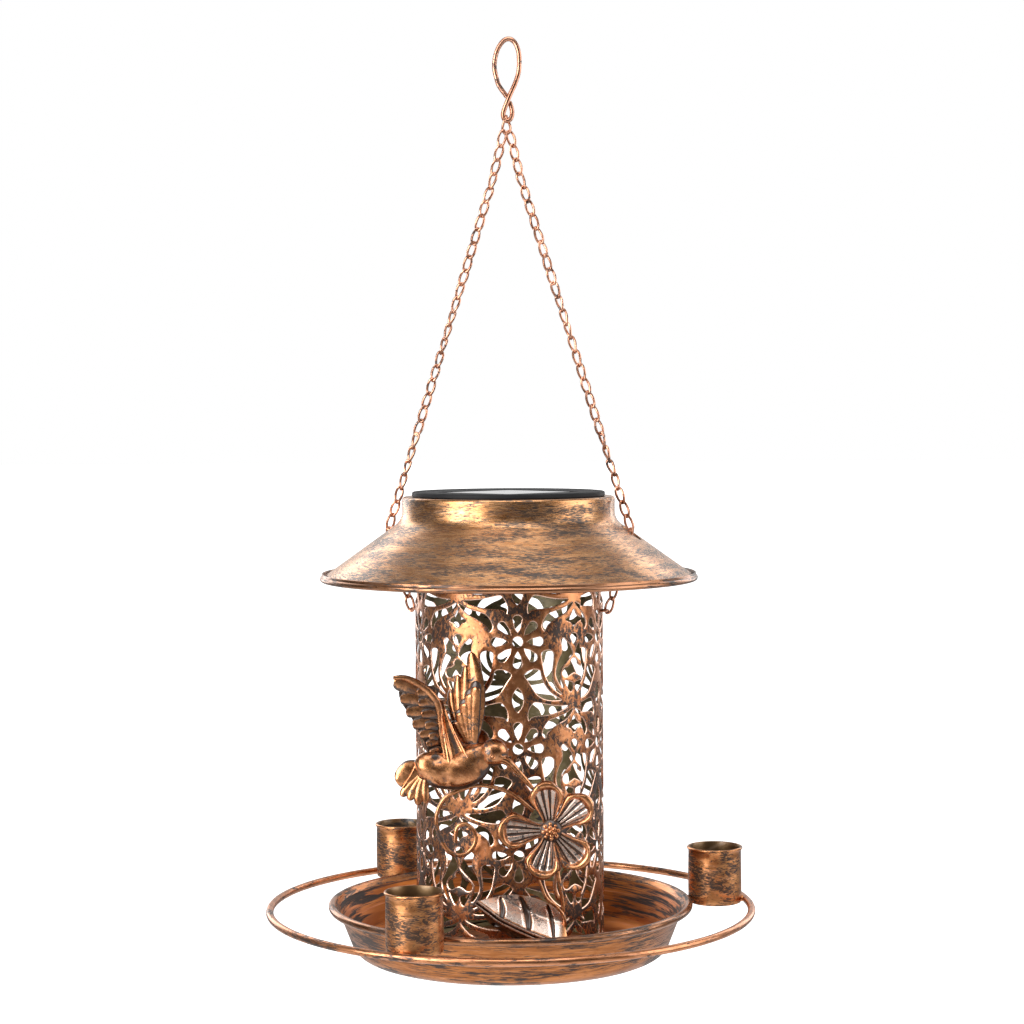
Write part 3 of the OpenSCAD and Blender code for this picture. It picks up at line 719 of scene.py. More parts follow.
def make_bezel(plastic):
    """Round black frame with a stepped, round-cornered square window."""
    count, r, foot = 128, 51.1, 219.4
    face = foot + 2.5
    rim = [(r - 0.3, foot), (r, foot + 0.3), (r, face - 0.7), (r - 0.2, face - 0.25), (r - 0.7, face)]
    rim += [(r - 3.0, face + 0.05), (r - 3.4, face - 0.25), (r - 4.0, face - 0.3)]
    points = [p for q, z in rim for p in circle(q, z, count)]
    shape = Shape()
    shape.take(points, bands(len(rim), count))
    # flat face between the last ring and the window's step
    window, step = rounded_square(25.5, 2.0), rounded_square(26.9, 2.8)
    n = len(window)
    flat = [Vector(p[:2]) for p in points[-count:]] + [Vector(p) for p in step]
    loops = [list(range(count)), list(range(count, count + n))]
    out = delaunay_2d_cdt(flat, [], loops, 0, 1e-4)
    keep = [list(f) for f, owner in zip(out[2], out[5]) if 1 not in owner]
    shape.take([(p.x, p.y, face - 0.3) for p in out[0]], keep)
    walls = [(step, face - 0.3), (step, face - 0.9), (window, face - 1.1), (window, foot - 0.1)]
    shape.take([(x, y, z) for line, z in walls for x, y in line], bands(len(walls), n))
    underside = [[a, d, c, b] for a, b, c, d in bands(2, count)]
    shape.take(circle(r - 0.3, foot, count) + circle(r - 12, foot, count), underside)
    shape.finish("bezel_frame", [plastic], "lid", "black_plastic", ["solar_bezel"], 40)


def make_cell(wafer, clear):
    """Silicon wafer in strips under a clear, slightly crowned cover."""
    top = (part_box("solar_cell")[1].z - RING_Z) / MM
    half, strips, gap = 25.0, 6, 0.3
    pitch, end = 2 * half / strips, half - gap
    shape = Shape()
    for i in range(strips):
        x0 = -half + i * pitch + gap / 2
        x1 = x0 + pitch - gap
        outline = [(x0, -end), (x1, -end), (x1, end), (x0, end)]
        turned = [((x - y) / math.sqrt(2), (x + y) / math.sqrt(2)) for x, y in outline]
        points = [(x, y, z) for z in (top - 0.35, top) for x, y in turned]
        shape.take(points, [[3, 2, 1, 0], [4, 5, 6, 7], *bands(2, 4)])
    shape.finish("cell_strips", [wafer], "lid", "solar_cell", ["solar_cell"], 30)
    steps, foot = 24, top + 0.05
    grid = np.linspace(-half, half, steps)
    gx, gy = np.meshgrid(grid, grid, indexing="ij")
    edge = (half - np.maximum(abs(gx), abs(gy))) / half
    crown = 0.45 * np.clip(edge * 8, 0, 1) ** 0.5 + 0.35
    tx, ty = (gx - gy) / math.sqrt(2), (gx + gy) / math.sqrt(2)
    layers = [np.stack([tx, ty, z], -1).reshape(-1, 3) for z in (foot + crown, np.full_like(tx, foot))]
    cover = Shape()
    cover.take(np.concatenate(layers), closed_sheet(steps, steps))
    cover.finish("cell_resin", [clear], "lid", "clear_cover", ["cell_cover"], 50)


# ---- pierced cylinder ----

COLUMN = 64.8  # width of one repeat of the pattern round the cylinder
ROW = 55.0  # height of one repeat
FIRST_COLUMN = 4.4  # arc length from the front to the nearest rosette
TOP_ROW = 201.5  # height of the top row of rosettes, half hidden above the sheet's margin
SEAM = 41.7  # arc length from the front to the lap seam
LANTERN_R = 50.0
MARGIN = 3.0  # height of the plain strips along the top and bottom edges

# Holes on the right half of one repeat: points round each hole, with the rosette's centre at 0, 0
LEAF_SLOTS = [
    [
        (3.3, -17), (5.6, -15.1), (8.6, -14.2), (11.6, -14.9), (12.4, -17.5), (13.5, -20.9),
        (17, -25.9), (22, -29.5), (23.9, -30.5), (20.6, -30.8), (15.6, -30.2), (11, -28.1),
        (8.1, -24.5), (5.6, -20.5),
    ],
    [
        (13.2, -5.4), (16.6, -4.6), (19.4, -6.2), (19.4, -10.5), (18.7, -15.7), (19.2, -20.2),
        (20.8, -23.9), (24.4, -27.8), (21, -26), (17.2, -22.2), (14.6, -17.4), (13.8, -14.2),
        (13, -10.2), (12.6, -7.2),
    ],
    [
        (24, 0.6), (25.3, 1.3), (26.6, 0.5), (29.6, -2.5), (31.2, -5.5), (31.6, -7.4), (29.6, -9.6),
        (26.1, -12.6), (24.1, -15.1), (23.6, -17.6), (24, -20.6), (25.4, -23.8), (24.4, -24.3),
        (21.8, -20.6), (20.7, -17), (21.4, -12.9), (23.2, -8.9), (24.6, -6.4), (24.5, -2.6),
        (23.8, -0.5),
    ],
    [
        (26.2, -20.9), (28.8, -21.3), (31.6, -22.3), (31.6, -24.8), (30.1, -26.9), (28.2, -24.7),
    ],
    [
        (5.6, 14.5), (5.3, 17.5), (6.1, 20.5), (8.1, 23.3), (10.5, 23.6), (17.6, 22), (24, 21.2),
        (28.6, 20.9), (23.6, 18.7), (17.6, 17.2), (13.6, 16.8), (9.6, 16.6), (7.1, 16),
    ],
    [
        (31.1, 19.3), (26.6, 17), (20.6, 15.3), (16.6, 14), (14.1, 11), (12.9, 8), (13.6, 6),
        (14.7, 5.2), (15.1, 6), (16.1, 8), (18.6, 10), (22.6, 12.3), (26.6, 14), (29.6, 16.5),
        (31.4, 18.6),
    ],
]
DIAMOND = [
    (27, 10.5), (30.4, 12.6), (32.4, 16), (34.4, 12.6), (37.8, 10.5), (34.6, 9), (32.4, 6.9),
    (30.2, 9),
]


def drop_hole(x, z, turn, length, width):
    """Drop with its point at x, z and its round end length away in the direction turn, in degrees."""
    r = width / 2
    flat = [(0, 0), (length * 0.3, -r * 0.62)] + arc(length - r, 0, r, -80, 80, 7)
    flat.append((length * 0.3, r * 0.62))
    c, s = math.cos(math.radians(turn)), math.sin(math.radians(turn))
    return [(x + p * c - q * s, z + p * s + q * c) for p, q in flat]


def almond_hole(x, z, length, width):
    """Upright pointed oval."""
    r = (length**2 + width**2) / (4 * width)
    a = math.degrees(math.asin(length / 2 / r))
    right = arc(x + width / 2 - r, z, r, -a, a, 8)[:-1]
    return right + arc(x - width / 2 + r, z, r, 180 - a, 180 + a, 8)[:-1]


def clover_hole(x, z):
    """Three round lobes that run into each other."""
    top = arc(0, -11.8, 2.4, -20, 200, 7)
    left = arc(-5.2, -16.6, 2.6, 75, 290, 8)
    right = arc(5.2, -16.6, 2.6, -110, 105, 8)
    bottom = [(-2.2, -17.8), (0, -17.0), (2.2, -17.8)]
    return [(x + p, z + q) for p, q in right + top + left + bottom]


def cell_holes():
    """All holes of one repeat, round a rosette at 0, 0. The knot's holes are on its right."""
    holes = [arc(0, 0, 2.7, 0, 337.5, 15)]
    for k in range(8):
        a = math.radians(45 * k)
        holes.append(drop_hole(4.8 * math.cos(a), 4.8 * math.sin(a), 45 * k, 8.9, 4.9))
    holes.append(almond_hole(0, -29.9, 12.5, 5.9))
    for points in LEAF_SLOTS:
        curve = smooth(points, 3, closed=True)
        holes.append([tuple(p) for p in curve])
        holes.append([(-x, z) for x, z in curve][::-1])
    half = COLUMN / 2
    holes.append(clover_hole(half, 0))
    holes.append([tuple(p) for p in smooth(DIAMOND, 3, closed=True)])
    holes.append(drop_hole(half, -2.6, 90, 6.1, 5.0))
    return holes


def anticlockwise(outline):
    """The outline as an array, turned round if it runs clockwise."""
    p = np.array(outline)
    area = np.sum(p[:, 0] * np.roll(p[:, 1], -1) - np.roll(p[:, 0], -1) * p[:, 1])
    return p if area > 0 else p[::-1]


def grown(outline, by):
    """An anticlockwise outline pushed outwards by a small amount."""
    ahead = np.roll(outline, -1, 0) - np.roll(outline, 1, 0)
    ahead /= np.linalg.norm(ahead, axis=1)[:, None] + 1e-9
    return outline + np.stack([ahead[:, 1], -ahead[:, 0]], 1) * by


def within(outline, x, z):
    """Whether each point x, z lies inside a closed outline."""
    (low_x, low_z), (high_x, high_z) = outline.min(0), outline.max(0)
    near = np.flatnonzero((x > low_x) & (x < high_x) & (z > low_z) & (z < high_z))
    px, pz = x[near], z[near]
    odd = np.zeros(len(near), bool)
    for (ax, az), (bx, bz) in zip(outline, np.roll(outline, -1, 0)):
        if az != bz:
            odd ^= ((az > pz) != (bz > pz)) & (px < ax + (pz - az) * (bx - ax) / (bz - az))
    inside = np.zeros(len(x), bool)
    inside[near] = odd
    return inside


def hole_outlines(s0, s1, low, high):
    """Outlines of the holes that reach into the sheet between its plain strips."""
    cells = [anticlockwise(hole) for hole in cell_holes()]
    out = []
    for column in range(-6, 3):
        for row in range(6):
            for hole in cells:
                outline = hole + (FIRST_COLUMN + COLUMN * column, TOP_ROW - ROW * row)
                (x0, y0), (x1, y1) = outline.min(0), outline.max(0)
                if x1 >= s0 - 1 and x0 <= s1 + 1 and y1 >= low + 1 and y0 <= high - 1:
                    out.append(outline)
    return out


def pierced_sheet(s0, s1, z0, z1, bevel_w):
    """The sheet cut flat: points, triangles, and whether each triangle is on a hole's bevel."""
    low, high = z0 + MARGIN, z1 - MARGIN
    flat = [(s0, z0), (s1, z0), (s1, z1), (s0, z1), (s0, low), (s1, low), (s0, high), (s1, high)]
    edges = [(0, 1), (1, 2), (2, 3), (3, 0), (4, 5), (6, 7)]
    holes = hole_outlines(s0, s1, low, high)
    bevels = [grown(outline, bevel_w) for outline in holes]
    for line in (line for pair in zip(holes, bevels) for line in pair):
        start, n = len(flat), len(line)
        flat += [tuple(p) for p in line]
        edges += [(start + k, start + (k + 1) % n) for k in range(n)]
    around, up = 150, 80
    rng = np.random.default_rng(3)
    for i in range(1, around):
        for k in range(1, up):
            shift = rng.uniform(-0.3, 0.3, 2)
            flat.append((s0 + (s1 - s0) * i / around + shift[0], z0 + (z1 - z0) * k / up + shift[1]))
    points, _, faces, *_ = delaunay_2d_cdt([Vector(p) for p in flat], edges, [], 0, 1e-4)
    points = np.array([tuple(p) for p in points])
    faces = np.array([list(f) for f in faces])
    x, z = points[faces].mean(1).T
    solid = (x > s0) & (x < s1) & (z > z0) & (z < z1)
    pierced = (z > low) & (z < high)
    removed = np.logical_or.reduce([within(outline, x, z) for outline in holes])
    rim = np.logical_or.reduce([within(outline, x, z) for outline in bevels])
    keep = solid & ~(removed & pierced)
    return points, faces[keep], (rim & pierced)[keep]


def make_lantern(outer, olive, cut):
    """The pierced sheet rolled into a cylinder and lapped at the seam."""
    z0, z1 = -19.2, 199.8
    thick, bevel_w, bevel_d, overlap = 0.7, 0.38, 0.18, 5
    points, faces, rims = pierced_sheet(SEAM - 2 * math.pi * LANTERN_R, SEAM, z0, z1, bevel_w)
    directed = {(int(a), int(b)) for face in faces for a, b in zip(face, np.roll(face, -1))}
    border = sorted((a, b) for a, b in directed if (b, a) not in directed)
    on_border = np.zeros(len(points), bool)
    on_border[[a for a, b in border]] = True
    used, faces = np.unique(faces, return_inverse=True)
    faces = faces.reshape(-1, 3)
    number = {int(old): new for new, old in enumerate(used)}
    s, z = points[used].T
    depth = np.where(on_border[used], bevel_d, 0.0)
    # the sheet's last few millimetres rise over its first ones at the seam
    lap = np.clip((s - (SEAM - overlap)) / overlap, 0, 1)
    lift = 0.45 * lap * lap * (3 - 2 * lap)
    uneven = np.array([noise.noise(Vector((a / 22, b / 30, 0.0))) for a, b in zip(s, z)]) * 0.10
    radius = LANTERN_R - 0.15 + lift + uneven
    angle = s / LANTERN_R

    def rolled(r):
        return np.stack([r * np.sin(angle), -r * np.cos(angle), z], 1)

    count = len(used)
    both = np.concatenate([rolled(radius - depth), rolled(radius - thick)])
    walls = [[number[b], number[a], count + number[a], count + number[b]] for a, b in border]
    every = faces.tolist() + (count + faces[:, ::-1]).tolist() + walls
    # hole walls and bevels take the light cut-edge copper: painted highlight along the cut edges
    kinds = [2 if rim else 0 for rim in rims] + [1] * len(faces) + [2] * len(walls)
    made = ([outer, olive, cut], "feeder", "pierced_copper", ["lantern_cylinder"], 28, kinds)
    build("lantern_filigree", both, every, *made)


# ---- tray, perch ring and cups ----

RING_R, RING_WIRE_R = 128, 2.0  # the perch ring's radius and its wire's
CUP_SEGMENTS = 96
WELDS = ((126.4, 0.2), (97.0, 1.2))  # distance from the axis and height of a cup's two welds


def tray_profile():
    """Outline of the tray and the kind of each step: 0 outside and on the lip, 1 inside, 2 on the rim."""
    rim_r, rim_z, rim_w = 94.8, 2.0, 2.0
    base, boss_r, boss_z = -24.0, 56.0, -20.0
    wall_r, slope_deg, bend = 91.8, 68.9, 10.0
    slope, end = math.radians(slope_deg), slope_deg - 90
    bend_z = base + bend
    bend_r = wall_r - (bend + (rim_z - 1 - bend_z) * math.cos(slope)) / math.sin(slope)
    floor_z, boss_top, boss_in = base + SHEET, boss_z + SHEET, boss_r - SHEET
    inner = [(wall_r + 1.4, rim_z + 1.2), (wall_r + 0.5, rim_z + 0.2)]
    inner += [(wall_r - SHEET * math.sin(slope), rim_z - 1)]
    inner += arc(bend_r, bend_z, bend - SHEET, end, -90, 12)[:-1]
    inner += [(r, floor_z) for r in np.linspace(bend_r, boss_r + 3.0, 8)]
    inner += [(boss_r + 1.2, floor_z + 0.3), (boss_r + 0.4, boss_z - 0.6), (boss_r - 0.4, boss_top - 0.15)]
    inner += [(r, boss_top) for r in (54.8, 45, 30, 15, 0)]
    outer = [(r, boss_z) for r in (0, 15, 30, 45, 54.4)]
    outer += [(boss_in, boss_z - 0.6), (boss_in + 0.1, base + 0.5), (boss_r + 0.2, base)]
    outer += [(r, base) for r in np.linspace(boss_r + 4, bend_r - 2, 6)]
    outer += arc(bend_r, bend_z, bend, -90, end, 12) + [(wall_r, rim_z - 1)]
    bead = arc(rim_r, rim_z, rim_w, 205, 210, 1)[:1] + arc(rim_r, rim_z, rim_w, 215, 510, 18)
    kinds = [0, 0] + [1] * (len(inner) - 2) + [0] * (len(outer) - 1) + [2] * (len(bead) + 1)
    return inner + outer + bead, kinds


def make_tray(copper, inside, rim):
    """Spun tray: raised boss, flat floor, round bend, sloping wall and rolled rim."""
    profile, kinds = tray_profile()
    points, faces = revolve(profile, AXIS_SEGMENTS, wobble=0.25)
    skin = band_indices(profile, kinds, AXIS_SEGMENTS)
    build("tray_spun", points, faces, [copper, inside, rim], "feeder", "tray_copper", ["tray"], 30, skin)


def make_ring(copper):
    """Perch ring: bent wire, not quite true."""
    path = []
    for a in full_turn(320):
        r = RING_R + 0.175 * math.sin(3 * a + 0.4)
        path.append((r * math.cos(a), r * math.sin(a), 0.18 * math.sin(2 * a + 1)))
    shape = Shape()
    shape.take(*tube(path, RING_WIRE_R, 16, closed=True))
    shape.finish("perch_wire", [copper], "feeder", "ring_copper", ["perch_ring"])


def cup_profile(foot, top):
    """Outline of a cup and the kind of each step: 0 outside and on the lip, 1 inside."""
    body, inner_r = 14.25, 14.25 - SHEET
    outer = [(0, foot), (9, foot), (body - 1.0, foot), (body - 0.3, foot + 0.3), (body, foot + 1.0)]
    for t in np.linspace(0.1, 1, 9):
        outer.append((body + 0.12 * math.sin(4.2 * t), foot + 1 + t * (top - foot - 3.2)))
    lip = [(body + 0.05, top - 1.9), (body + 0.1, top - 1.6), *arc(body, top - 0.75, 0.75, -70, 120, 10)]
    inner = [(inner_r, top - 1.4), (inner_r, top - 6), (inner_r, foot + 10), (inner_r, foot + 2.2)]
    inner += [(inner_r - 1.4, foot + 0.9), (0, foot + 0.8)]
    return outer + lip + inner, [0] * (len(outer) + len(lip) - 1) + [1] * (len(inner) + 1)


def cup_copper(name, middle):
    """Brushed copper with its strokes round the cup's own axis."""
    light, deep = (0.74, 0.33, 0.13), (0.50, 0.20, 0.07)
    brush = ((150, 560), (60, 70), 0.3, middle)
    return antique(name, light, deep, 0.68, *brush, lacquer=0.2, swirl=2.2)


def make_cups(inside):
    """Three deep cups with a small rolled lip, with a weld at the ring and one at the tray's rim."""
    for i in range(3):
        node = f"cup_{i + 1}"
        low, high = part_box(node)
        middle = ((low.x + high.x) / 2, (low.y + high.y) / 2)
        copper = cup_copper(f"cup_brushed_{i + 1}", middle)
        cx, cy = middle[0] / MM, middle[1] / MM
        profile, kinds = cup_profile((low.z - RING_Z) / MM, (high.z - RING_Z) / MM)
        shape = Shape()
        skin = band_indices(profile, kinds, CUP_SEGMENTS)
        shape.take(*revolve(profile, CUP_SEGMENTS, (cx, cy), wobble=0.15), index=skin)
        away = math.atan2(cy, cx)
        for r, z in WELDS:
            at = (r * math.cos(away), r * math.sin(away))
            weld = [(0, z - 1.6), (1.4, z - 1.3), (2.2, z - 0.3), (1.9, z + 0.9), (0.9, z + 1.7)]
            weld.append((0, z + 1.9))
            shape.take(*revolve(weld, 20, at, wobble=0.8))
        shape.finish(f"{node}_spun", [copper, inside], "feeder", "cup_copper", [node], 40)


# ---- bird ----

PLANE_Y = -53.6  # the ornaments stand in one upright plane in front of the cylinder


def feather(line, width, lift, crown, tip, dark, lean=(0.0, 0.0), base=0.0, rows=22):
    """Pressed feather along line, given as x and z from root to tip.

    lift is its height at root and tip, crown how far it domes, and tip the share of its length that rounds
    off. lean is the x where a leaning wing crosses the plane and how fast it comes forward from there. base
    is its darkness all over (painted shade on the left wing's feathers and on the shadow copies behind the
    right wing's small feathers), and dark what its sides add."""
    path = smooth(line, 12)
    path = np.hstack([path, tangents(path)])

    def place(t, v):
        px, pz, tx, tz = read_at(path, t)
        end = np.sqrt(np.clip(1 - ((t - 1 + tip) / tip).clip(0) ** 2, 0, 1))
        across = v * width / 2 * (0.72 + 0.28 * np.sin(np.pi * t * 0.9)) * end
        quill = 0.18 * np.exp(-((v / 0.12) ** 2)) * (1 - t)
        dome = crown * (1 - np.abs(v) ** 2.4) * (0.55 + 0.45 * t) * np.sqrt(end.clip(0.05))
        x, z = px - tz * across, pz + tx * across
        height = lift[0] + (lift[1] - lift[0]) * t + dome + quill + lean[1] * (x - lean[0])
        hollow_black_and_painted_light = base + dark * np.abs(v) ** 6 + 0.45 * (1 - t) ** 4
        return x, z, height, hollow_black_and_painted_light

    return leaf_of_metal(place, rows, 13, PLANE_Y, 0.7)


# Large feathers of the left wing: x and z from root to tip, and width
PRIMARIES = [
    ([(-40.0, 120.4), (-48.5, 124.4), (-58.4, 128.4)], 8.8),
    ([(-38.5, 116.6), (-47.0, 118.6), (-55.4, 119.4)], 7.6),
    ([(-37.5, 111.4), (-45.0, 112.4), (-52.6, 112.4)], 7.0),
    ([(-36.8, 106.0), (-43.0, 106.4), (-49.4, 105.8)], 6.6),
    ([(-36.2, 101.0), (-41.0, 101.0), (-45.8, 100.4)], 5.8),
    ([(-35.4, 96.4), (-38.6, 96.2), (-42.4, 95.4)], 4.8),
    ([(-34.4, 92.4), (-37.4, 92.0), (-40.6, 91.0)], 4.2),
]
# Small feathers of each wing: x and z of the tip, and width
COVERTS_LEFT = [
    (-47.0, 121.8, 6.0), (-46.4, 116.6, 5.8), (-44.8, 110.6, 5.6), (-43.0, 104.6, 5.2),
    (-41.0, 99.0, 4.6),
]
# The left wing's rounded front edge
WING_EDGE = [
    (-58.6, 130.0), (-52.5, 129.6), (-46.4, 126.6), (-40.4, 121.8), (-36.2, 115.4), (-34.9, 107),
    (-34.3, 98), (-32.8, 90),
]
# Feathers of the right wing: x and z from root to tip, and width
FINGERS = [
    ([(-23.4, 98.5), (-26.6, 105.0), (-28.9, 113.0), (-29.9, 123.0)], 5.0),
    ([(-22.6, 98.0), (-24.6, 108.0), (-26.0, 118.0), (-26.2, 130.6)], 5.2),
    ([(-21.6, 98.0), (-22.4, 110.0), (-22.4, 122.0), (-22.2, 135.4)], 5.4),
    ([(-20.2, 96.5), (-17.6, 106.0), (-16.4, 122.0), (-19.4, 142.4)], 8.6),
]
COVERTS_RIGHT = [
    (-27.6, 106.4, 5.2), (-25.4, 111.4, 5.6), (-22.8, 116.4, 6.0), (-19.8, 121.2, 6.2),
    (-17.0, 125.0, 6.0),
]


def arm_fold():
    """The left wing's arm: a broad ridge and a thin one, spreading from one point, and a hollow."""
    left = smooth([(-35.6, 117.4), (-35.0, 104.0), (-33.0, 86.0)], 10)
    right = smooth([(-34.0, 117.4), (-28.6, 104.5), (-20.4, 89.4)], 10)

    def place(t, v):
        (lx, lz), (rx, rz) = read_at(left, t), read_at(right, t)
        share = (v + 1) / 2
        ridges = 1.7 * np.exp(-(((v + 0.6) / 0.3) ** 2)) + 1.9 * np.exp(-(((v - 0.84) / 0.13) ** 2))
        hollow = np.exp(-(((v - 0.22) / 0.4) ** 2)) * step_up(t, 0.25, 0.6)
        height = 1.2 + 5.8 * t**1.4 + ridges * np.clip(0.3 + 2 * t, 0, 1)
        return lx + (rx - lx) * share, lz + (rz - lz) * share, height, 0.85 * hollow - 0.05

    return leaf_of_metal(place, 40, 31, PLANE_Y, 0.7)


def make_left_wing(copper):
    """Fan of feathers in front of a dark backing, with small feathers, a front edge and an arm."""
    wing, lean = Shape(), (-33.0, -0.28)
    backing = [(-35.4, 91), (-39, 104), (-46, 117), (-54.5, 125.5)]
    wing.take(*feather(backing, 15, (-0.6, -0.4), 0.2, 0.3, 0.2, lean, 0.8))
    # the feathers, front edge and small feathers carry raised darkness all over: painted shade of a wing
    # that sits in shadow, over the black in its creases
    for k, (line, width) in enumerate(PRIMARIES):
        wing.take(*feather(line, width, (0.3, 0.4 + 0.1 * k), 1.3, 0.18, 1.7, lean, 0.44))
    for x, z, width in COVERTS_LEFT:
        line = [(-36.0, z - 0.6), ((x - 36.0) / 2, z + 0.5), (x, z)]
        wing.take(*feather(line, width, (1.5, 1.4), 1.2, 0.2, 1.7, lean, 0.5))
    edge = smooth(WING_EDGE, 10)
    t = np.linspace(0, 1, len(edge))
    swell = np.sin(np.pi * np.clip(t * 0.92 + 0.06, 0, 1)) ** 0.7
    front = PLANE_Y - 1.6 - lean[1] * (edge[:, 0] - lean[0])
    wing.take(*flat_tube(edge, front, 0.4 + 1.6 * swell, 0.3 + 1.3 * swell), 0.42)
    wing.take(*arm_fold())
    wing.finish_ornament("wing_left_pressed", copper, ["bird_wing_left"])


def make_right_wing(copper):
    """Four long feathers in front of a dark backing, with small ones across their roots."""
    wing, lean = Shape(), (-24.0, 0.30)
    backing = [(-21.0, 95), (-21.4, 107), (-21.8, 118), (-22.4, 130)]
    wing.take(*feather(backing, 13, (-0.3, -0.2), 0.2, 0.4, 0.2, lean, 0.8))
    for k, (line, width) in enumerate(FINGERS):
        wing.take(*feather(line, width, (0.4, 0.4 + 0.35 * k), 1.5, 0.26, 1.0, lean, rows=30))
    for k, (x, z, width) in enumerate(COVERTS_RIGHT):
        root = (-22.0 + 0.9 * k, 96.0)
        mid = ((x + root[0]) / 2 - 0.4, (z + root[1]) / 2)
        past = (x + 0.2 * (x - mid[0]), z + 0.2 * (z - mid[1]))
        # a longer, dark copy behind each small feather: painted shadow past its tip
        shadow = [root, mid, past]
        wing.take(*feather(shadow, width + 0.6, (0.9, 1.5 + 0.3 * k), 1.2, 0.15, 0.2, lean, 0.95))
        wing.take(*feather([root, mid, (x, z)], width, (1.3, 2.3 + 0.3 * k), 1.1, 0.12, 0.9, lean))
    wing.finish_ornament("wing_right_pressed", copper, ["bird_wing_right"])


def flat_tube(path, y, side_r, front_r, sides=20):
    """Tube along x, z points at depth y, with its own half width and half depth."""
    tangent = tangents(path)
    n = len(path)
    centre = np.stack([path[:, 0], np.broadcast_to(y, n), path[:, 1]], 1)
    across = np.stack([-tangent[:, 1], np.zeros(n), tangent[:, 0]], 1)
    forward = np.array([0.0, -1.0, 0.0])
    a = full_turn(sides)
    out = across[:, None] * (np.broadcast_to(side_r, n)[:, None] * np.cos(a))[..., None]
    out = out + forward * (np.broadcast_to(front_r, n)[:, None] * np.sin(a))[..., None]
    return (centre[:, None] + out).reshape(-1, 3), bands(n, sides) + caps(n, sides)


def spot(points, x, z, wide, tall):
    """Soft round patch on the front, 1 in its middle."""
    return np.exp(-(((points[:, 0] - x) / wide) ** 2 + ((points[:, 2] - z) / tall) ** 2))


# The body from tail to neck: x, middle height, half height, half depth
SPINE = [
    (-47.2, 81.4, 1.2, 1.0), (-46.4, 81.8, 4.2, 3.2), (-44.8, 82.6, 6.6, 4.8), (-42.2, 83.4, 8.0, 5.6),
    (-39.0, 83.0, 8.6, 6.0), (-36.0, 82.0, 8.9, 6.2), (-32.0, 81.2, 9.0, 6.6), (-28.0, 81.2, 9.2, 6.9),
    (-24.0, 82.2, 9.7, 6.9), (-20.5, 84.2, 9.7, 6.5), (-17.5, 86.6, 9.1, 5.8), (-15.0, 88.6, 7.9, 5.2),
    (-12.8, 90.2, 6.4, 4.6), (-10.4, 91.0, 5.0, 4.0), (-8.0, 91.2, 3.0, 3.0),
]
# Dark spots on the body, black in its dents together with painted shade low on the rump: strength, then x,
# z, width and height
DENT_BLACK_AND_SHADE = [
    (0.9, -41.5, 76.6, 2.4, 2.4), (0.9, -37.4, 89.6, 3.0, 2.6), (0.5, -33.0, 78.0, 2.4, 3.0),
    (0.9, -13.6, 81.6, 2.4, 2.6), (0.35, -26.5, 88.5, 2.2, 3.0),
]
BIRD_SIDES = 40


def bird_body():
    """The body, with three dents, painted shade along its underside and a darker back half."""
    fine = smooth(SPINE, 7)
    points, faces = flat_tube(fine[:, :2], PLANE_Y - 3.4, fine[:, 2], fine[:, 3], BIRD_SIDES)
    turn = np.tile(full_turn(BIRD_SIDES), len(fine))
    front = np.sin(turn) > 0
    dents = 1.3 * spot(points, -37.0, 88.0, 3.0, 2.4) + 0.9 * spot(points, -33.0, 78.0, 2.6, 3.4)
    points[:, 1] += dents * front
    points[:, 1] += 1.2 * spot(points, -15.2, 83.0, 2.0, 3.6) * front
    # painted shade along the underside
    underside_shade = np.clip((-np.cos(turn) - 0.62) / 0.2, 0, 1)
    dent_black_and_shade = [strength * spot(points, *where) for strength, *where in DENT_BLACK_AND_SHADE]
    return points, faces, np.maximum.reduce([underside_shade, np.clip(-np.sin(turn), 0, 0.6), *dent_black_and_shade])


def bird_head():
    """The head, with a crescent behind the eye, a wedge in front of it and painted shade below the jaw."""
    s = np.sin(np.linspace(-1.5, 1.5, 25))
    half = np.sqrt(1 - s**2)
    skull = np.stack([-8.0 + 7.4 * s, 91.2 - 0.8 * s], 1)
    points, faces = flat_tube(skull, PLANE_Y - 4.4, 7.0 * half, 6.4 * half, BIRD_SIDES)
    crescent = spot(points, -13.4, 89.2, 0.8, 3.2)
    wedge = spot(points, -3.0, 90.6, 2.6, 0.9)
    points[:, 1] += (0.7 * crescent + 0.5 * wedge) * (points[:, 1] < PLANE_Y - 4.4)
    # painted shade below the jaw
    chin_shade = np.clip((86.8 - points[:, 2]) / 1.5, 0, 1)
    return points, faces, np.maximum.reduce([crescent - 0.12, 0.9 * wedge, 0.95 * chin_shade])


def make_eye(copper):
    """A round eye in a wire ring."""
    shape = Shape()
    eye = np.array([-8.6, PLANE_Y - 10.7, 89.8])
    a = full_turn(28)
    ring = eye + np.stack([1.3 * np.cos(a), np.zeros(28), 1.3 * np.sin(a)], 1)
    shape.take(*tube(ring, 0.36, 8, closed=True), 0.15)
    s = np.linspace(-0.98, 0.98, 13)
    dome = 0.8 * np.sqrt(1 - s**2)
    level = np.stack([eye[0] + 0.8 * s, np.full(13, eye[2])], 1)
    shape.take(*flat_tube(level, eye[1] + 0.1, dome, 0.7 * dome, 16), 0.1)
    shape.finish_ornament("bird_eye", copper, ())


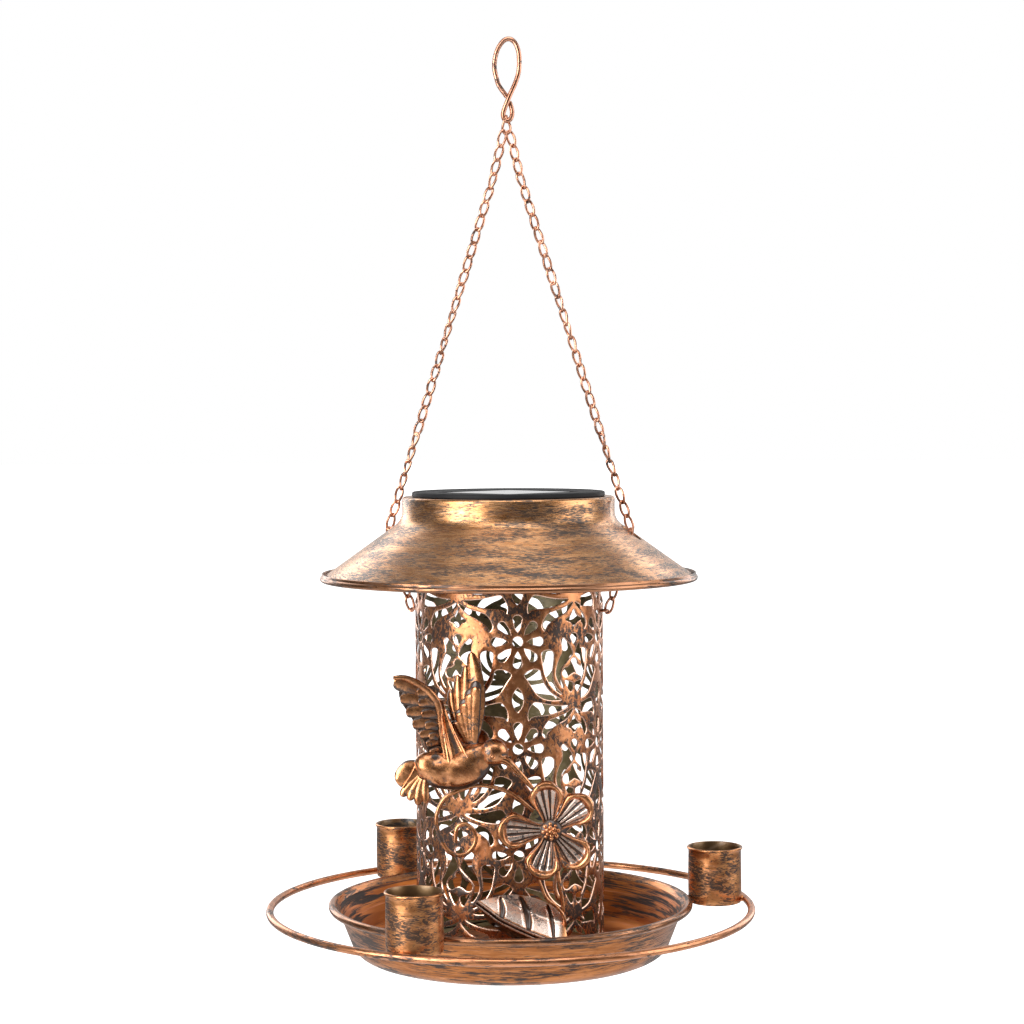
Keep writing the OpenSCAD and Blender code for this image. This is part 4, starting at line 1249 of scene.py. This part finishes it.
def make_bill(copper):
    """The long bent bill, with a groove where it opens."""
    sides = 24
    bill = smooth([(-6.6, 88.0), (-2.6, 87.5), (0.8, 85.1), (5.7, 79.8), (10.0, 75.0), (14.0, 70.6)], 8)
    t = np.linspace(0, 1, len(bill))
    half = 2.5 - 1.4 * t - 0.75 * t**6
    points, faces = flat_tube(bill, PLANE_Y - 6.4 - 1.6 * t, half, half * 0.9, sides)
    turn = np.tile(full_turn(sides), len(bill))
    gape = np.exp(-(((turn - 1.85) / 0.16) ** 2))
    points[:, 1] += 0.5 * gape * np.repeat(half, sides) * 0.5
    shape = Shape()
    shape.take(points, faces, 0.4 * gape - 0.08)
    shape.finish_ornament("bird_bill", copper, ["bird_beak"], 60)


def make_bird(copper):
    """Head and body in one piece, the eye and the bill."""
    shape = Shape()
    shape.take(*bird_body())
    shape.take(*bird_head())
    shape.finish_ornament("bird_form", copper, ["bird_body"], 60)
    make_eye(copper)
    make_bill(copper)


def make_tail(copper):
    """Fan of rounded feathers with a broad one on top."""
    shape = Shape()
    fans = [
        ([(-45.5, 81.8), (-50.6, 79.4), (-58.2, 76.0)], 15.0, (0.4, 0.2), 1.8, 0.6),
        ([(-46.2, 78.4), (-51.0, 73.4), (-55.6, 68.4)], 5.0, (1.0, 0.6), 1.3, 0.3),
        ([(-45.6, 77.8), (-48.8, 72.2), (-51.4, 66.2)], 4.8, (1.3, 0.9), 1.3, 0.3),
        ([(-44.6, 77.4), (-46.2, 70.8), (-46.9, 63.7)], 4.8, (1.6, 1.2), 1.3, 0.3),
        ([(-43.0, 77.0), (-43.2, 70.8), (-42.8, 64.6)], 4.2, (1.9, 1.5), 1.3, 0.3),
    ]
    for line, width, lift, crown, tip in fans:
        shape.take(*feather(line, width, lift, crown, tip, 0.95))
    ridge = smooth([(-47.8, 84.5), (-50.2, 79.7), (-54.6, 73.0)], 8)
    shape.take(*flat_tube(ridge, PLANE_Y - 2.0, 0.55, 0.7, 10), 0.0)
    shape.finish_ornament("tail_fan", copper, ["bird_tail"])


# ---- flower, vine and leaf ----

FLOWER = (20.7, 51.2)  # x and z of the flower's middle
# Turn in degrees, length and width of each petal
PETALS = [(97, 26, 18.6), (39, 26.5, 18.6), (-44, 25.5, 18.6), (-104, 25.5, 19), (180, 27.5, 20)]
# Half a petal's width at shares of its length, as a share of half its full width
PETAL_SHARES = ((0, 0.15, 0.35, 0.55, 0.75, 0.9, 1), (0.34, 0.40, 0.60, 0.82, 0.98, 0.98, 0.86))
BOSS_OUTLINE = [(0, 0), (5.6, 0), (5.8, 0.8), (5.1, 1.5), (4.0, 2.2), (2.6, 3.0), (0, 3.4)]
# Rings of beads on the boss: radius of the ring, count, height and bead radius
BEADS = ((0.0, 1, 3.6, 1.3), (2.1, 6, 3.2, 1.25), (3.7, 8, 2.1, 1.1))


def step_up(value, low, high):
    """Smooth step from 0 at low to 1 at high."""
    t = np.clip((value - low) / (high - low), 0, 1)
    return t * t * (3 - 2 * t)


def petal(turn, length, width):
    """Spoon-shaped petal: a smooth rim, broad at the end, round a ribbed hollow."""

    def place(t, v):
        half = width / 2 * np.interp(t, *PETAL_SHARES)
        reach = length * (0.13 + 0.87 * t) - 6.0 * t**2 * np.abs(v) ** 2.2
        outward = np.clip((t - 0.45) / 0.55, 0, 1)
        q = (np.abs(v) ** 4 + outward**4) ** 0.25
        wide = 0.12 + 0.09 * outward  # half the width of the raised rim
        rim = 2.3 * np.sqrt(np.clip(1 - ((q - 1 + wide) / wide) ** 2, 0, 1))
        inner = 1 - 2 * wide
        hollow = step_up(q - inner, 0.05, -0.06) * step_up(t, 0.9, 0.7)
        groove = np.clip(0.15 - np.cos(2 * np.pi * 2.4 * v), 0, 1) * hollow * np.clip(1.25 - np.abs(v), 0, 1)
        height = 0.6 + 2.6 * t**1.5 + rim - 0.8 * groove
        seam = np.exp(-(((q - inner) / 0.05) ** 2)) * step_up(t, 0.05, 0.3)
        hollow_black_and_painted_light = np.maximum.reduce([1.3 * groove, 0.6 * seam, 0.8 * step_up(t, 0.22, 0.0)])
        a = math.radians(turn)
        x = FLOWER[0] + reach * math.cos(a) - v * half * math.sin(a)
        z = FLOWER[1] + reach * math.sin(a) + v * half * math.cos(a)
        # outside the grooves the hollow turns pale: painted highlight on its ribs
        return x, z, height, np.where(groove > 0.3, hollow_black_and_painted_light, hollow_black_and_painted_light - 1.4 * hollow)

    return leaf_of_metal(place, 44, 61, PLANE_Y - 4.2, 0.8)


def make_flower(copper):
    """Five petals round a beaded boss in a dark ring."""
    shape = Shape()
    for turn, length, width in PETALS:
        shape.take(*petal(turn, length, width))
    shape.finish_ornament("petals_pressed", copper, ["flower_petals"], 60)
    boss = Shape()
    points, faces = revolve(BOSS_OUTLINE, 48, wobble=0.5)
    x, y, z = np.array(points).T
    back = PLANE_Y - 5.2
    upright = np.stack([FLOWER[0] + x, back - z, FLOWER[1] + y], 1)
    boss.take(upright, [f[::-1] for f in faces], 0.95)
    rng = np.random.default_rng(5)
    for ring, count, depth, size in BEADS:
        for k in range(count):
            a = 2 * math.pi * (k + 0.3 * ring) / count
            r = size + rng.uniform(-0.15, 0.15)
            bead, faces = revolve([(0, -r), *arc(0, 0, r, -60, 60, 6), (0, r)], 14)
            bead = np.array(bead)
            at = (FLOWER[0] + ring * math.cos(a), back - depth, FLOWER[1] + ring * math.sin(a))
            boss.take(bead + at, faces, 0.5 * (bead[:, 1] > 0.2))
    boss.finish_ornament("flower_boss", copper, ["flower_centre"], 60)


# Bent wires: x and z along each, from its upper end
VINE = [
    (12, 60.5), (10.7, 61.3), (4, 67), (-3, 71.1), (-15.2, 73.7), (-27, 70.7), (-34.1, 66.1),
    (-37.7, 56.4), (-35.3, 46.2), (-30.2, 39), (-23.1, 38.4), (-18, 44), (-18.4, 50.2), (-23, 53.8),
    (-27.1, 51.8), (-28.1, 44.1),
]
FLOWER_STEM = [(21, 50), (22.8, 37.7), (26.7, 12.5), (26.2, 4.8), (25.4, -8), (25, -23)]
LEAF_STEM = [(13, 29), (16, 21.4), (18.6, 15.6), (24.4, 10.5), (27.6, 5.0), (27.2, -4), (26.5, -23)]


def wire_piece(name, points, depth, radius, copper, node):
    """Round wire through x, z points in an upright plane."""
    line = smooth(points, 10)
    path = np.stack([line[:, 0], np.full(len(line), depth), line[:, 1]], 1)
    path[:, 1] += [0.25 * noise.noise(Vector(p) / 14) for p in path]
    shape = Shape()
    shape.take(*tube(path, radius, 12))
    shape.finish_ornament(name, copper, [node], 60)


# The leaf's upper edge, midrib and lower edge: x and z from tip to stem
LEAF_TOP = [(-17.4, 15.6), (-12, 16.6), (-5, 17.0), (4.8, 17.4), (18.2, 13.4), (26, 6.6), (28.8, -3)]
LEAF_MIDDLE = [(-17.4, 15.4), (-11, 10.6), (-4.6, 5.9), (9, -0.7), (21.5, -5.6), (25.5, -7.4), (28.6, -9.4)]
LEAF_LOW = [(-17.4, 15.2), (-14.2, 9.6), (-9.5, 2.6), (2, -5), (15, -8.8), (22, -10), (28.4, -9.8)]
RIB_FRONT = 9.0  # how far the midrib stands in front of the upper edge


def leaf_slots(t, share):
    """Depth of the three slots across each half, and height of the lips beside them."""
    slots, lips = np.zeros_like(t), np.zeros_like(t)
    for start in (0.325, 0.50, 0.675):
        bent = t - start - 0.022 * np.sin(np.pi * share)
        wide = 0.006 + 0.016 * np.sin(np.pi * np.clip(share * 0.95, 0, 1)) ** 0.8
        body = step_up(share, 0.06, 0.14) * step_up(share, 0.98, 0.9)
        slots = np.maximum(slots, np.exp(-((bent / wide) ** 4)) * body)
        lips = np.maximum(lips, np.exp(-(((bent + wide * 1.5) / 0.006) ** 2)) * body)
    return slots, lips


def make_leaf(copper):
    """Leaf folded along a double midrib: its upper half leans back, its lower half faces down."""
    top, middle, low = (smooth(points, 12) for points in (LEAF_TOP, LEAF_MIDDLE, LEAF_LOW))

    def place(t, v):
        (ux, uz), (mx, mz), (lx, lz) = (read_at(line, t) for line in (top, middle, low))
        ex, ez = np.where(v > 0, ux, lx), np.where(v > 0, uz, lz)
        share = np.abs(v) ** 1.7
        away = np.hypot(ex - mx, ez - mz) * share
        slope = np.where(v > 0, 0.55, 0.80)
        fold = RIB_FRONT - np.minimum(slope * away * (1 + 0.04 * away), RIB_FRONT - 0.2)
        rib = -0.8 * np.exp(-((away / 0.34) ** 2))
        slots, lips = leaf_slots(t, share)
        height = fold + rib + 0.35 * lips - 1.6 * slots
        # lower half darker where it faces down: painted shade
        lower = (v < 0) & (away > 1.2)
        crease = np.exp(-((away / 2.2) ** 6))
        hollow_black_and_painted_light = np.maximum.reduce([1.5 * slots, 1.2 * crease, np.where(lower, 0.70, 0.0)])
        # upper half pale where it faces the light from above: painted highlight
        pale = (v > 0) & (slots < 0.2) & (away > 2.6)
        hollow_black_and_painted_light = hollow_black_and_painted_light - 0.8 * pale * step_up(t, 0.95, 0.68)
        return mx + (ex - mx) * share, mz + (ez - mz) * share, height, hollow_black_and_painted_light

    shape = Shape()
    shape.take(*leaf_of_metal(place, 145, 61, PLANE_Y - 0.8, 0.8))
    across = tangents(middle) @ np.array([[0.0, 1.0], [-1.0, 0.0]])
    # the midrib's two wires are pale: painted highlight
    for side in (-0.95, 0.95):
        shape.take(*flat_tube(middle + side * across, PLANE_Y - 1.1 - RIB_FRONT, 0.55, 0.7, 12), -0.35)
    shape.finish_ornament("leaf_pressed", copper, ["leaf"], 60)


# ---- inner parts that keep their CAD shape ----


def paint(names, material):
    """Gives CAD nodes their material."""
    for name in names:
        node = frame["nodes"][name]
        node.data.materials.clear()
        node.data.materials.append(material)


# ---- everything ----

make_camera()
make_studio()

# Each finish: light tone, deep tone, share of black, strokes and patches to a metre, roughness
chain_copper = antique(
    "rose_copper", (0.66, 0.33, 0.21), (0.42, 0.18, 0.10), 0.36, (200, 400), (60, 60), 0.28
)
lid_copper = antique(
    "lid_brushed",
    (0.66, 0.34, 0.15),
    (0.44, 0.19, 0.065),
    0.70,
    (280, 2300),
    (30, 110),
    0.27,
    lacquer=0.35,
    clump=0.65,
)
lid_inside = antique("lid_inside", (0.42, 0.24, 0.12), (0.26, 0.15, 0.08), 0.5, (60, 300), (20, 40), 0.42)
bead_copper = antique(
    "bead_copper", (0.45, 0.21, 0.11), (0.28, 0.12, 0.05), 0.54, (80, 900), (18, 60), 0.28, lacquer=0.2
)
# darker towards its foot: more black paint there, with painted shade
pierced = antique(
    "pierced_copper",
    (0.57, 0.24, 0.10),
    (0.34, 0.12, 0.045),
    0.58,
    (600, 420),
    (40, 36),
    0.33,
    lacquer=0.2,
    foot=0.09,
)
olive = antique("olive_lining", (0.26, 0.20, 0.10), (0.17, 0.14, 0.07), 0.15, (200, 300), (30, 30), 0.45)
cup_inside = antique("cup_inside", (0.26, 0.15, 0.07), (0.17, 0.10, 0.045), 0.4, (60, 200), (30, 30), 0.45)
# light copper for the holes' walls and bevels: painted highlight along the cut edges
cut_edge_highlight = plain_metal("cut_copper_highlight", (0.95, 0.60, 0.45), 0.26)
tray_copper = antique(
    "tray_brushed", (0.54, 0.21, 0.07), (0.34, 0.12, 0.035), 0.70, (90, 2200), (20, 210), 0.30, lacquer=0.2
)
tray_inside = antique(
    "tray_inside", (0.52, 0.17, 0.04), (0.32, 0.09, 0.02), 0.6, (30, 800), (10, 60), 0.46, lacquer=0.0
)
ring_copper = antique(
    "ring_copper", (0.67, 0.29, 0.14), (0.43, 0.17, 0.07), 0.46, (140, 900), (30, 240), 0.30, lacquer=0.25
)
ornament = antique(
    "ornament_copper",
    (0.72, 0.31, 0.12),
    (0.42, 0.15, 0.045),
    0.32,
    (360, 360),
    (70, 70),
    0.28,
    reads_hollow_black_and_painted_light=True,
    lacquer=0.9,
)
black_plastic = moulded("black_plastic", (0.012, 0.013, 0.014), 0.42)
white_plastic = moulded("white_plastic", (0.78, 0.77, 0.74), 0.4)
steel = plain_metal("zinc_steel", (0.60, 0.60, 0.61), 0.3)

make_hook(chain_copper)
for side in SIDES:
    make_leg(side, chain_copper)
make_lid(lid_copper, lid_inside, bead_copper)
make_bezel(moulded("bezel_black", (0.008, 0.008, 0.009), 0.62, specular=0.2))
wafer = moulded("silicon", (0.012, 0.016, 0.045), 0.25)
make_cell(wafer, moulded("cover", (0.05, 0.05, 0.06), 0.09, gloss=1.0))
make_lantern(pierced, olive, cut_edge_highlight)
make_tray(tray_copper, tray_inside, bead_copper)
make_ring(ring_copper)
make_cups(cup_inside)
make_left_wing(ornament)
make_right_wing(ornament)
make_bird(ornament)
make_tail(ornament)
make_flower(ornament)
wire_piece("vine_wire", VINE, PLANE_Y, 1.15, ornament, "vine")
wire_piece("stem_wire", FLOWER_STEM, PLANE_Y, 1.05, ornament, "flower_stem")
wire_piece("leaf_stem_wire", LEAF_STEM, PLANE_Y - 1.7, 0.8, ornament, "leaf_stem")
make_leaf(ornament)

# CAD parts that keep their shape, by finish
paint(["chain_eyes"], chain_copper)
paint(["seat_ring", "foot_tabs"], lid_inside)
paint(["lamp_housing", "battery_door"], black_plastic)
paint(["housing_screws", "foot_screws", "foot_nuts", "battery_contacts", "switch_body"], steel)
paint(["switch_knob"], white_plastic)
# The same for the ones with a plastic of their own: node, slot, material, colour and roughness
for node, slot, material, colour, rough in (
    ("circuit_board", "circuit_board", "solder_mask", (0.02, 0.12, 0.04), 0.3),
    ("panel_wires", "wire_red", "wire_red", (0.4, 0.03, 0.02), 0.4),
    ("battery", "battery_wrap", "battery_wrap", (0.05, 0.22, 0.09), 0.3),
    ("led", "led_resin", "led_resin", (0.85, 0.82, 0.62), 0.15),
    ("led_lens", "frosted_lens", "frosted_lens", (0.75, 0.75, 0.72), 0.35),
):
    paint([node], moulded(material, colour, rough))

make_floor()
